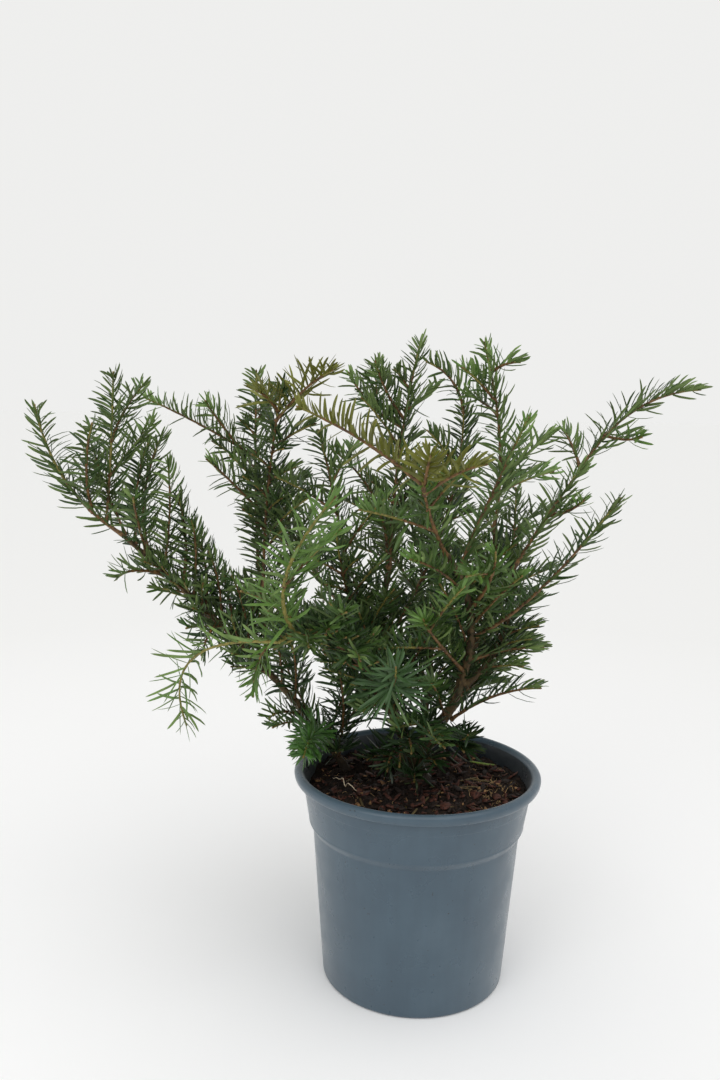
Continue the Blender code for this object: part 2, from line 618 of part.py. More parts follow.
def build_mass(name, mass, space, material, order):
    """The mass's shoots, each a closed solid, joined by one union of the first with all the others."""
    made = []
    for k, stem in enumerate(mass["stems"]):
        points, faces = needled_shoot(stem, space, 1000 * order + k)
        made.append(add_object(name if k == 0 else stem.name, points, faces, material))
    whole, others = made[0], made[1:]
    if not others:
        return
    twigs = bpy.data.collections.new(name + "_twigs")
    bpy.context.scene.collection.children.link(twigs)
    for other in others:
        bpy.context.scene.collection.objects.unlink(other)
        twigs.objects.link(other)
    join = whole.modifiers.new("join", "BOOLEAN")
    join.operation = "UNION"
    join.operand_type = "COLLECTION"
    join.collection = twigs
    join.solver = "EXACT"
    apply_modifiers(whole)
    for other in list(twigs.objects):
        bpy.data.objects.remove(other, do_unlink=True)
    bpy.data.collections.remove(twigs)
    drop_scraps(whole)


def drop_scraps(thing):
    """Keeps the largest connected body of the mesh and deletes what hangs loose from it."""
    work = bmesh.new()
    work.from_mesh(thing.data)
    left = set(work.verts)
    bodies = []
    while left:
        todo = [left.pop()]
        body = set(todo)
        while todo:
            for edge in todo.pop().link_edges:
                for vert in edge.verts:
                    if vert in left:
                        left.discard(vert)
                        body.add(vert)
                        todo.append(vert)
        bodies.append(body)
    bodies.sort(key=len)
    for body in bodies[:-1]:
        bmesh.ops.delete(work, geom=list(body), context="VERTS")
    work.to_mesh(thing.data)
    work.free()


clear_scene()
bark = plain_material("bark", (0.165, 0.085, 0.055), 0.85)
greens = {name: plain_material("needles_" + name, colour, 0.5) for name, colour in GREENS.items()}
build_pot()
build_soil()
build_trunk(bark)
stems, masses, space = grow()
for name, *_ in BOUGHS:
    points, faces = limb_mesh(stems[name], BOUGH_SIDES)
    shade_round(add_object(name, points, faces, bark), 50)
for order, (name, mass) in enumerate(masses.items()):
    build_mass(name, mass, space, greens[mass["green"]], order + 1)
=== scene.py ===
"""Young spreading english yew in its nursery pot, finished needle by needle.

Metres, +Z up, origin at the middle of the pot's flat underside. X runs to the right and Y away from
whoever stands in front of the plant. The tables of limbs give places in centimetres, radii in millimetres.
"""

import json
import math
import random

import bpy
import numpy as np
from mathutils import Matrix, Vector
from mathutils.kdtree import KDTree

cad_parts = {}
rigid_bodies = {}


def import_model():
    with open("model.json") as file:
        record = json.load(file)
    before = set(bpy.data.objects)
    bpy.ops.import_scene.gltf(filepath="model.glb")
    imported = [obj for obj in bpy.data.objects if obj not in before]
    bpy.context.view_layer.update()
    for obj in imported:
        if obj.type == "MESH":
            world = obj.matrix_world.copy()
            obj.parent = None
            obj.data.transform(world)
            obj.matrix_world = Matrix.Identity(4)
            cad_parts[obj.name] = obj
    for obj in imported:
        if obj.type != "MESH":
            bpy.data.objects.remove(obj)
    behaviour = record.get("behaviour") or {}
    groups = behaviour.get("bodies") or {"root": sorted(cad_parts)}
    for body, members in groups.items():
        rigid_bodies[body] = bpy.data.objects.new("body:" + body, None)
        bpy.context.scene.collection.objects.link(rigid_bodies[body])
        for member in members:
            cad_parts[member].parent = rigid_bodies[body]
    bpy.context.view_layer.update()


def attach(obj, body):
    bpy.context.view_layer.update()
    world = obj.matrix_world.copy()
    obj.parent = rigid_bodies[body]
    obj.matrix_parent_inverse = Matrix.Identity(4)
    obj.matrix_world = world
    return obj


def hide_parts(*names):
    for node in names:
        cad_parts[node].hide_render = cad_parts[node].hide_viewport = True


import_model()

# Camera: it stands in front of the crown, looks a little down and is turned about a degree off level.
# Its focal length is for a picture of 720 by 1080 with the 36 mm along the tall side.
CAMERA_PLACE = (-0.0477, -0.7170, 0.4384)
CAMERA_DOWN = 0.1347
CAMERA_ROLL = 0.0194
CAMERA_LENS = 32.07
camera = bpy.data.objects.new("camera", bpy.data.cameras.new("camera"))
camera.data.lens = CAMERA_LENS
camera.data.sensor_width = 36.0
camera.data.clip_start = 0.01
camera.data.clip_end = 200.0
camera.matrix_world = (
    Matrix.Translation(CAMERA_PLACE)
    @ Matrix.Rotation(math.pi / 2 - CAMERA_DOWN, 4, "X")
    @ Matrix.Rotation(CAMERA_ROLL, 4, "Z")
)
bpy.context.scene.collection.objects.link(camera)
bpy.context.scene.camera = camera
bpy.context.scene.view_settings.view_transform = "Standard"


# Studio: a wide matt white floor under an even white sky, a broad soft sun and one large lamp.
# The floor's colour is painted light: paler near the pot, where the pot and crown shade it, and fading to
# the sky's tone away from it. The sky shows paler than it shines, so that the inside of the crown stays
# dark and its shadows soft.
FLOOR_REACH = 60.0
FLOOR_DROP = 0.0002
FLOOR_NEAR = (0.96, 0.96, 0.965)
FLOOR_FAR = (0.895, 0.895, 0.888)
FLOOR_FADE = (0.3, 1.3)
SKY = (0.86, 0.86, 0.85)
SKY_SHINE = 0.80
SUN_SHINE = 0.98
SUN_SPREAD = math.radians(72)
SUN_TURN = (math.radians(24), math.radians(12), 0.0)
LAMP_PLACE = (-0.9, -1.3, 1.2)
LAMP_AIM = (0.0, 0.0, 0.25)
LAMP_SIZE = 0.9
LAMP_POWER = 5.0
LAMP_COLOUR = (1.0, 0.99, 0.97)


def add_piece(name, points, groups, materials):
    """A mesh object from an array of points and groups of faces (corner array, material number)."""
    mesh = bpy.data.meshes.new(name)
    points = np.asarray(points, np.float32).reshape(-1, 3)
    corners = np.concatenate([faces.ravel() for faces, _ in groups])
    sizes = np.concatenate([np.full(len(faces), faces.shape[1]) for faces, _ in groups])
    marks = np.concatenate([np.full(len(faces), mark) for faces, mark in groups])
    mesh.vertices.add(len(points))
    mesh.vertices.foreach_set("co", points.ravel())
    mesh.loops.add(len(corners))
    mesh.loops.foreach_set("vertex_index", corners.astype(np.int32))
    mesh.polygons.add(len(sizes))
    starts = np.concatenate(([0], np.cumsum(sizes)[:-1]))
    mesh.polygons.foreach_set("loop_start", starts.astype(np.int32))
    for material in materials:
        mesh.materials.append(material)
    mesh.polygons.foreach_set("material_index", marks.astype(np.int32))
    mesh.update(calc_edges=True)
    mesh.validate()
    made = bpy.data.objects.new(name, mesh)
    bpy.context.scene.collection.objects.link(made)
    return made


def new_material(name, colour, roughness):
    """A material and its Principled shader, with one colour and one roughness for a start."""
    material = bpy.data.materials.new(name)
    material.use_nodes = True
    shader = material.node_tree.nodes["Principled BSDF"]
    shader.inputs["Base Color"].default_value = (*colour, 1.0)
    shader.inputs["Roughness"].default_value = roughness
    return material, shader


# Painted light: the floor's colour fades from paler near the pot, where it offsets the shade of the pot and
# crown, to the sky's tone far off.
floor_paper, floor_shader = new_material("floor_paper", FLOOR_NEAR, 0.9)
floor_place = floor_paper.node_tree.nodes.new("ShaderNodeTexCoord")
floor_reach = floor_paper.node_tree.nodes.new("ShaderNodeVectorMath")
floor_reach.operation = "LENGTH"
floor_fade = floor_paper.node_tree.nodes.new("ShaderNodeMapRange")
floor_fade.inputs["From Min"].default_value = FLOOR_FADE[0]
floor_fade.inputs["From Max"].default_value = FLOOR_FADE[1]
floor_tint = floor_paper.node_tree.nodes.new("ShaderNodeMix")
floor_tint.data_type = "RGBA"
floor_tint.inputs[6].default_value = (*FLOOR_NEAR, 1.0)
floor_tint.inputs[7].default_value = (*FLOOR_FAR, 1.0)
floor_paper.node_tree.links.new(floor_place.outputs["Object"], floor_reach.inputs[0])
floor_paper.node_tree.links.new(floor_reach.outputs["Value"], floor_fade.inputs["Value"])
floor_paper.node_tree.links.new(floor_fade.outputs["Result"], floor_tint.inputs[0])
floor_paper.node_tree.links.new(floor_tint.outputs[2], floor_shader.inputs["Base Color"])
corner = FLOOR_REACH * np.array([[-1, -1, 0], [1, -1, 0], [1, 1, 0], [-1, 1, 0]], float)
floor = add_piece("floor", corner - (0, 0, FLOOR_DROP), [(np.array([[0, 1, 2, 3]]), 0)], [floor_paper])
sky = bpy.data.worlds.new("sky")
sky.use_nodes = True
shown = sky.node_tree.nodes["Background"]
shown.inputs["Color"].default_value = (*SKY, 1.0)
shining = sky.node_tree.nodes.new("ShaderNodeBackground")
shining.inputs["Color"].default_value = (*SKY, 1.0)
shining.inputs["Strength"].default_value = SKY_SHINE
ray = sky.node_tree.nodes.new("ShaderNodeLightPath")
either = sky.node_tree.nodes.new("ShaderNodeMixShader")
sky.node_tree.links.new(ray.outputs["Is Camera Ray"], either.inputs["Fac"])
sky.node_tree.links.new(shining.outputs["Background"], either.inputs[1])
sky.node_tree.links.new(shown.outputs["Background"], either.inputs[2])
sky.node_tree.links.new(either.outputs["Shader"], sky.node_tree.nodes["World Output"].inputs["Surface"])
bpy.context.scene.world = sky
sun = bpy.data.objects.new("sun", bpy.data.lights.new("sun", "SUN"))
sun.data.energy = SUN_SHINE
sun.data.angle = SUN_SPREAD
sun.rotation_euler = SUN_TURN
bpy.context.scene.collection.objects.link(sun)
lamp = bpy.data.objects.new("lamp_front", bpy.data.lights.new("lamp_front", "AREA"))
lamp.data.size = LAMP_SIZE
lamp.data.energy = LAMP_POWER
lamp.data.color = LAMP_COLOUR
lamp.location = LAMP_PLACE
lamp.rotation_euler = (Vector(LAMP_AIM) - Vector(LAMP_PLACE)).to_track_quat("-Z", "Y").to_euler()
bpy.context.scene.collection.objects.link(lamp)


# Nursery pot: thin blue-grey polypropylene, injection moulded in one shot. The wall has draft, a step and
# a collar, and ends in a rolled lip; six drains are punched in its floor. The inside wall is darkened with
# painted shade, for the shadow that the crown and the wall cast inside the pot.
POT_HEIGHT = 0.165
FOOT_RADIUS = 0.0705
STEP_HEIGHT = 0.119
STEP_RADIUS = 0.0800
COLLAR_HEIGHT = 0.124
COLLAR_RADIUS = 0.0830
LIP_ROOT_HEIGHT = 0.157
LIP_ROOT_RADIUS = 0.0885
LIP_RADIUS = 0.0950
POT_WALL = 0.0020
POT_FLOOR = 0.0025
POT_SIDES = 160
DRAIN_HOLES = 6
DRAIN_RADIUS = 0.0055
DRAIN_CIRCLE = 0.050
DISH_RADIUS = 0.0620
DISH_RISE = 0.0009


def wall_radius(height):
    """Outside of the wall at a height: straight lines from foot to step, step to collar, collar to lip."""
    return float(
        np.interp(
            height,
            (0.0, STEP_HEIGHT, COLLAR_HEIGHT, LIP_ROOT_HEIGHT),
            (FOOT_RADIUS, STEP_RADIUS, COLLAR_RADIUS, LIP_ROOT_RADIUS),
        )
    )


def rounded_profile(corners, steps=4):
    """Radius and height pairs: each corner becomes a quadratic curve that starts its own rounding away."""
    corners = np.array(corners, float)
    places = corners[:, :2]
    profile = [places[:1]]
    for before, here, after, rounding in zip(places, places[1:], places[2:], corners[1:-1, 2]):
        back = before - here
        on = after - here
        first = here + back * min(0.49, rounding / np.linalg.norm(back))
        last = here + on * min(0.49, rounding / np.linalg.norm(on))
        t = np.linspace(0, 1, steps + 1)[:, None]
        profile.append((1 - t) ** 2 * first + 2 * t * (1 - t) * here + t**2 * last)
    profile.append(places[-1:])
    return np.vstack(profile)


def grid_faces(rows, columns):
    """Quads of a grid whose columns close into a ring; they face outward where rows run along its axis."""
    row, column = np.meshgrid(np.arange(rows - 1), np.arange(columns), indexing="ij")
    beside = (column + 1) % columns
    quads = np.stack((row * columns + column, row * columns + beside), axis=-1)
    above = quads + columns
    return np.concatenate((quads, above[..., ::-1]), axis=-1).reshape(-1, 4)


def turned_shape(profile, sides):
    """Rings of points (r cos a, r sin a, z), closed by a point on the axis at each end of the profile."""
    angle = np.linspace(0, 2 * math.pi, sides, endpoint=False)
    rings = profile[1:-1]
    ring_points = np.stack(
        (
            rings[:, :1] * np.cos(angle),
            rings[:, :1] * np.sin(angle),
            np.repeat(rings[:, 1:], sides, axis=1),
        ),
        axis=-1,
    ).reshape(-1, 3)
    ends = np.array([(0, 0, profile[0, 1]), (0, 0, profile[-1, 1])])
    quads = grid_faces(len(rings), sides)
    side = np.arange(sides)
    beside = (side + 1) % sides
    first = len(ring_points)
    start_fan = np.stack((np.full(sides, first), beside, side), axis=1)
    last_ring = (len(rings) - 1) * sides
    end_fan = np.stack((last_ring + side, last_ring + beside, np.full(sides, first + 1)), axis=1)
    return np.vstack((ring_points, ends)), [(quads, 0), (start_fan, 0), (end_fan, 0)]


def smooth(piece, degrees):
    """Shades the piece round, with hard edges where faces meet at more than the angle."""
    piece.data.shade_smooth()
    piece.data.set_sharp_from_angle(angle=math.radians(degrees))


def noise_node(material, scale, detail=3.0, stretch=(1.0, 1.0, 1.0), roughness=0.5):
    """Noise in Object coordinates: scale is in waves a metre, and stretch draws it out along an axis."""
    nodes = material.node_tree.nodes
    links = material.node_tree.links
    place = nodes.new("ShaderNodeTexCoord")
    turn = nodes.new("ShaderNodeMapping")
    turn.inputs["Scale"].default_value = stretch
    made = nodes.new("ShaderNodeTexNoise")
    made.inputs["Scale"].default_value = scale
    made.inputs["Detail"].default_value = detail
    made.inputs["Roughness"].default_value = roughness
    links.new(place.outputs["Object"], turn.inputs["Vector"])
    links.new(turn.outputs["Vector"], made.inputs["Vector"])
    return made


def ramp_node(material, source, stops):
    """A colour ramp over a texture's value: stops are (value, colour)."""
    ramp = material.node_tree.nodes.new("ShaderNodeValToRGB")
    band = ramp.color_ramp
    while len(band.elements) < len(stops):
        band.elements.new(0.5)
    for element, (value, colour) in zip(band.elements, stops):
        element.position = value
        element.color = (*colour, 1.0)
    material.node_tree.links.new(source, ramp.inputs["Fac"])
    return ramp


def blend_colours(material, how, share, first, second):
    """A colour mix; share, first and second are sockets or plain values."""
    mix = material.node_tree.nodes.new("ShaderNodeMix")
    mix.data_type = "RGBA"
    mix.blend_type = how
    for socket, value in ((mix.inputs[0], share), (mix.inputs[6], first), (mix.inputs[7], second)):
        if isinstance(value, bpy.types.NodeSocket):
            material.node_tree.links.new(value, socket)
        else:
            socket.default_value = value if isinstance(value, float) else (*value, 1.0)
    return mix.outputs[2]


def bump(material, shader, source, height, strength=1.0):
    """Bump from a texture's value, whose full swing stands for a height in metres."""
    node = material.node_tree.nodes.new("ShaderNodeBump")
    node.inputs["Distance"].default_value = height
    node.inputs["Strength"].default_value = strength
    material.node_tree.links.new(source, node.inputs["Height"])
    material.node_tree.links.new(node.outputs["Normal"], shader.inputs["Normal"])


def span_node(material, source, low, high):
    """A texture's value carried from its middle range to the range from low to high."""
    node = material.node_tree.nodes.new("ShaderNodeMapRange")
    node.inputs["From Min"].default_value = 0.3
    node.inputs["From Max"].default_value = 0.7
    node.inputs["To Min"].default_value = low
    node.inputs["To Max"].default_value = high
    material.node_tree.links.new(source, node.inputs["Value"])
    return node.outputs["Result"]


def pot_plastic(name, painted_shade):
    """Blue-grey polypropylene: cloudy pigment, faint flow streaks, specks of dirt and a satin skin.

    The last argument is painted shade: the share of each of the three colours that is kept, below one on
    the inside wall, which lies in the shadow of the crown and the wall.
    """
    material, shader = new_material(name, (0.057, 0.095, 0.128), 0.34)
    links = material.node_tree.links
    cloud = noise_node(material, 22.0, 4.0)
    blues = [
        (0.30, (0.048, 0.081, 0.112)),
        (0.55, (0.057, 0.095, 0.128)),
        (0.80, (0.072, 0.113, 0.148)),
    ]
    clouded = ramp_node(material, cloud.outputs["Fac"], blues)
    streak = noise_node(material, 160.0, 2.0, (1.0, 1.0, 0.06))
    weak_and_strong = [(0.35, (0.97, 0.97, 0.97)), (0.65, (1.03, 1.03, 1.03))]
    streaks = ramp_node(material, streak.outputs["Fac"], weak_and_strong)
    moulded = blend_colours(material, "MULTIPLY", 1.0, clouded.outputs["Color"], streaks.outputs["Color"])
    speck = noise_node(material, 420.0, 2.0)
    specks = ramp_node(material, speck.outputs["Fac"], [(0.735, (0.0, 0.0, 0.0)), (0.765, (1.0, 1.0, 1.0))])
    dirty = blend_colours(material, "MIX", specks.outputs["Color"], moulded, (0.030, 0.026, 0.022))
    links.new(blend_colours(material, "MULTIPLY", 1.0, dirty, painted_shade), shader.inputs["Base Color"])
    scuff = noise_node(material, 60.0, 5.0)
    links.new(span_node(material, scuff.outputs["Fac"], 0.24, 0.40), shader.inputs["Roughness"])
    grain = noise_node(material, 1500.0, 2.0)
    bump(material, shader, grain.outputs["Fac"], 0.00006)
    shader.inputs["Sheen Weight"].default_value = 0.12
    shader.inputs["Sheen Roughness"].default_value = 0.45
    return material


# Corners of the wall's section, from the underside round the lip to the inside: radius, height, rounding.
RIDGE_HEIGHT = 0.1246
BAND_HEIGHT = 0.1470
RIDGE = 0.0002
# Heights between which the inside wall is darkened with painted shade.
SHADED_FROM = 0.004
SHADED_TO = POT_HEIGHT - 0.004
pot_corners = [
    (0.0, DISH_RISE, 0.0),
    (DISH_RADIUS - 0.0010, DISH_RISE, 0.0006),
    (DISH_RADIUS, 0.0, 0.0006),
    (FOOT_RADIUS, 0.0, 0.0022),
    (STEP_RADIUS, STEP_HEIGHT, 0.0010),
    (COLLAR_RADIUS - RIDGE, COLLAR_HEIGHT - 0.0008, 0.0006),
    (wall_radius(RIDGE_HEIGHT) + RIDGE, RIDGE_HEIGHT, 0.0003),
    (wall_radius(RIDGE_HEIGHT + 4 * RIDGE), RIDGE_HEIGHT + 4 * RIDGE, 0.0003),
    (wall_radius(BAND_HEIGHT), BAND_HEIGHT, 0.0003),
    (wall_radius(BAND_HEIGHT) + RIDGE, BAND_HEIGHT + RIDGE, 0.0003),
    (LIP_ROOT_RADIUS + RIDGE, LIP_ROOT_HEIGHT, 0.0010),
    (LIP_RADIUS - 0.0014, LIP_ROOT_HEIGHT, 0.0018),
    (LIP_RADIUS, POT_HEIGHT - 0.0050, 0.0015),
    (LIP_RADIUS, POT_HEIGHT - 0.0020, 0.0018),
    (LIP_RADIUS - 0.0022, POT_HEIGHT, 0.0018),
    (LIP_RADIUS - 0.0048, POT_HEIGHT, 0.0016),
    (LIP_RADIUS - 0.0070, POT_HEIGHT - 0.0020, 0.0014),
    (LIP_ROOT_RADIUS - POT_WALL, LIP_ROOT_HEIGHT, 0.0020),
    (COLLAR_RADIUS - POT_WALL, COLLAR_HEIGHT + 0.002, 0.0010),
    (STEP_RADIUS - POT_WALL, STEP_HEIGHT, 0.0010),
    (FOOT_RADIUS - POT_WALL, POT_FLOOR, 0.0025),
    (0.0, POT_FLOOR, 0.0),
]
plastic = pot_plastic("pot_plastic", (1.0, 1.0, 1.0))
pot_points, pot_faces = turned_shape(rounded_profile(pot_corners), POT_SIDES)
pot = add_piece("nursery_pot", pot_points, pot_faces, [plastic])
punches = bpy.data.collections.new("punches")
bpy.context.scene.collection.children.link(punches)
PUNCH_REACH = 0.01
PUNCH_SIDES = 24
punch_corners = ((0, -1), (1, -1), (1, 1), (0, 1))
punch_profile = np.array(punch_corners) * (DRAIN_RADIUS, PUNCH_REACH)
for k in range(DRAIN_HOLES):
    turn = 2 * math.pi * (k + 0.5) / DRAIN_HOLES
    punch_points, punch_faces = turned_shape(punch_profile, PUNCH_SIDES)
    punch_points = punch_points + (DRAIN_CIRCLE * math.cos(turn), DRAIN_CIRCLE * math.sin(turn), 0.0)
    punch = add_piece(f"punch_{k + 1}", punch_points, punch_faces, [plastic])
    bpy.context.scene.collection.objects.unlink(punch)
    punches.objects.link(punch)
drains = pot.modifiers.new("drains", "BOOLEAN")
drains.operand_type = "COLLECTION"
drains.collection = punches
drains.solver = "EXACT"
pot_mesh = bpy.data.meshes.new_from_object(pot.evaluated_get(bpy.context.evaluated_depsgraph_get()))
pot.modifiers.clear()
pot.data = pot_mesh
for punch in list(punches.objects):
    bpy.data.objects.remove(punch, do_unlink=True)
bpy.data.collections.remove(punches)
normals = np.zeros((len(pot_mesh.polygons), 3), np.float32)
centres = np.zeros((len(pot_mesh.polygons), 3), np.float32)
pot_mesh.polygons.foreach_get("normal", normals.ravel())
pot_mesh.polygons.foreach_get("center", centres.ravel())
inward = (normals[:, :2] * centres[:, :2]).sum(axis=1) < 0
inner_wall = inward & (centres[:, 2] > SHADED_FROM) & (centres[:, 2] < SHADED_TO)
# Painted shade: the inside wall keeps only half or less of each colour, for the shadow inside the pot under
# the crown.
pot_mesh.materials.append(pot_plastic("pot_inside", (0.50, 0.40, 0.36)))
pot_mesh.polygons.foreach_set("material_index", inner_wall.astype(np.int32))
smooth(pot, 32)
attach(pot, "root")
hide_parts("pot")


# Potting mix: dark damp peat with composted bark, heaped by hand to a finger below the lip.
# Its top is crumbs of peat, flakes of red-brown bark and pale fibres, all loose on each other.
SOIL_LEVEL = 0.151
SOIL_GAP = 0.0006
SOIL_RADIUS = wall_radius(SOIL_LEVEL) - POT_WALL - SOIL_GAP


def ripples(points, length, seed, waves=28):
    """Smooth uneven field of unit swing: the sum of plane sine waves of about one length, in many ways."""
    draw = np.random.default_rng(seed)
    ways = draw.normal(size=(waves, 3))
    ways *= (draw.uniform(0.6, 1.5, waves) / np.linalg.norm(ways, axis=1) * 2 * math.pi / length)[:, None]
    shift = draw.uniform(0, 2 * math.pi, waves)
    return np.sin(np.asarray(points) @ ways.T + shift).sum(axis=-1) / math.sqrt(waves / 2)


def soil_height(x, y):
    """Height of the mix: broad heaps, lumps and crumbs as three sizes of ripple, lower along the wall."""
    flat = np.stack((x, y, np.zeros_like(x)), axis=-1)
    heap = 0.0012 * ripples(flat, 0.050, 1) + 0.0009 * ripples(flat, 0.014, 2)
    lumps = 0.0005 * ripples(flat, 0.006, 3) + 0.0003 * ripples(flat, 0.0025, 4)
    out = np.hypot(x, y) / SOIL_RADIUS
    return SOIL_LEVEL + heap + lumps - 0.0015 * out**6


def potting_mix():
    """Near-black peat with browner crumbs, quite matt, rough at two scales."""
    material, shader = new_material("potting_mix", (0.014, 0.009, 0.007), 0.92)
    shader.inputs["Specular IOR Level"].default_value = 0.25
    patch = noise_node(material, 260.0, 6.0, roughness=0.7)
    peat_browns = [
        (0.34, (0.004, 0.003, 0.003)),
        (0.52, (0.016, 0.010, 0.007)),
        (0.66, (0.046, 0.024, 0.015)),
        (0.80, (0.100, 0.055, 0.030)),
    ]
    browns = ramp_node(material, patch.outputs["Fac"], peat_browns)
    material.node_tree.links.new(browns.outputs["Color"], shader.inputs["Base Color"])
    crumb = noise_node(material, 900.0, 5.0, roughness=0.65)
    bump(material, shader, crumb.outputs["Fac"], 0.0009)
    return material


SOIL_SIDES = 220
soil_rings = np.linspace(0, SOIL_RADIUS, 90)[1:]
soil_bends = (POT_FLOOR + 0.0028, 0.06, STEP_HEIGHT, COLLAR_HEIGHT + 0.002)
soil_profile = np.vstack(
    (
        [(0.0, POT_FLOOR + 0.0003)],
        [(wall_radius(z) - POT_WALL - SOIL_GAP, z) for z in soil_bends],
        [(SOIL_RADIUS, SOIL_LEVEL - 0.004)],
        np.stack((soil_rings[::-1], np.full(len(soil_rings), SOIL_LEVEL)), axis=1),
        [(0.0, SOIL_LEVEL)],
    )
)
soil_points, soil_faces = turned_shape(soil_profile, SOIL_SIDES)
top_of_mix = soil_points[:, 2] > SOIL_LEVEL - 0.001
soil_points[top_of_mix, 2] = soil_height(soil_points[top_of_mix, 0], soil_points[top_of_mix, 1])
mix = potting_mix()
soil = add_piece("potting_mix", soil_points, soil_faces, [mix])
smooth(soil, 60)
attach(soil, "root")
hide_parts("soil")

# Loose bits on the mix: crumbs of peat, bark flakes in three browns, and coir fibres.
# Each crumb is a dented ball of twenty faces and each flake a slab with a ragged rim of eight corners.
CRUMBS = 3000
CRUMB_SIZE = 0.0006
FLAKES = {"dark": 330, "red": 300, "tan": 90}
FLAKE_SCALE = {"dark": 1.0, "red": 1.08, "tan": 0.5}
FLAKE_LENGTH = 0.0062
FLAKE_LONGEST = 0.011
FLAKE_RIM = 8
FIBRES = 260
FIBRE_PATCH = (0.060, -0.012)
FIBRE_SPREAD = (0.011, 0.018)


def scattered(count, draw, reach=0.985):
    """Random places spread evenly over the mix, with the height of the surface there."""
    out = SOIL_RADIUS * reach * np.sqrt(draw.uniform(0, 1, count))
    turn = draw.uniform(0, 2 * math.pi, count)
    x, y = out * np.cos(turn), out * np.sin(turn)
    return np.stack((x, y, soil_height(x, y)), axis=1)


def turns(draw, count, tip):
    """Rotation matrices: any turn about the upright, after a tip of up to the angle about a level axis."""
    spin = draw.uniform(0, 2 * math.pi, count)
    lean = draw.normal(0, tip, count)
    roll = draw.normal(0, tip, count)
    c, s = np.cos(spin), np.sin(spin)
    zero, one = np.zeros(count), np.ones(count)
    about_z = np.stack((c, -s, zero, s, c, zero, zero, zero, one), axis=1).reshape(-1, 3, 3)
    c, s = np.cos(lean), np.sin(lean)
    about_y = np.stack((c, zero, s, zero, one, zero, -s, zero, c), axis=1).reshape(-1, 3, 3)
    c, s = np.cos(roll), np.sin(roll)
    about_x = np.stack((one, zero, zero, zero, c, -s, zero, s, c), axis=1).reshape(-1, 3, 3)
    return about_z @ about_y @ about_x


def copies(template, faces, places, rotations, sizes, dents):
    """Many copies of a small shape: each dented, sized along its own axes, turned and put in place."""
    shapes = template[None] * (1 + dents[..., None]) * sizes[:, None, :]
    points = np.einsum("nij,nkj->nki", rotations, shapes) + places[:, None, :]
    steps = np.arange(len(places))[:, None, None] * len(template)
    return points.reshape(-1, 3), (faces[None] + steps).reshape(-1, faces.shape[1])


def ball_shape():
    """Twelve corners and twenty faces of a regular icosahedron of unit radius."""
    golden = (1 + math.sqrt(5)) / 2
    upright = [(0, short, long * golden) for short in (-1, 1) for long in (-1, 1)]
    lying = [(short, long, 0) for _, short, long in upright]
    across = [(long, 0, short) for _, short, long in upright]
    corners = np.array(upright + lying + across, float)
    corners /= np.linalg.norm(corners, axis=1)[:, None]
    apart = np.linalg.norm(corners[:, None] - corners[None], axis=2)
    near = (apart > 0.1) & (apart < 1.2)
    faces = []
    for a in range(12):
        for b in range(a + 1, 12):
            for c in range(b + 1, 12):
                if near[a, b] and near[b, c] and near[a, c]:
                    out = np.dot(np.cross(corners[b] - corners[a], corners[c] - corners[a]), corners[a])
                    faces.append((a, b, c) if out > 0 else (a, c, b))
    return corners, np.array(faces)


def flake_shape():
    """Slab of unit length and width: two rims of eight corners, a middle point above and one below."""
    turn = np.linspace(0, 2 * math.pi, FLAKE_RIM, endpoint=False)
    rim = np.stack((0.5 * np.cos(turn), 0.5 * np.sin(turn)), axis=1)
    low = np.column_stack((rim * 0.92, np.full(FLAKE_RIM, -0.4)))
    high = np.column_stack((rim, np.full(FLAKE_RIM, 0.4)))
    corners = np.vstack((low, high, [(0, 0, -0.5), (0, 0, 0.5)]))
    k = np.arange(FLAKE_RIM)
    n = (k + 1) % FLAKE_RIM
    up = FLAKE_RIM
    sides = np.vstack((np.stack((k, n, n + up), axis=1), np.stack((k, n + up, k + up), axis=1)))
    under = np.stack((n, k, np.full(FLAKE_RIM, 2 * up)), axis=1)
    over = np.stack((k + up, n + up, np.full(FLAKE_RIM, 2 * up + 1)), axis=1)
    return corners, np.vstack((sides, under, over))


def bark_flake(name, dark, light):
    """Composted bark: one brown with darker pores along it and a damp face."""
    material, shader = new_material(name, light, 0.68)
    shader.inputs["Specular IOR Level"].default_value = 0.30
    grain = noise_node(material, 700.0, 4.0)
    browns = ramp_node(material, grain.outputs["Fac"], [(0.35, dark), (0.62, light)])
    material.node_tree.links.new(browns.outputs["Color"], shader.inputs["Base Color"])
    bump(material, shader, grain.outputs["Fac"], 0.0004)
    return material


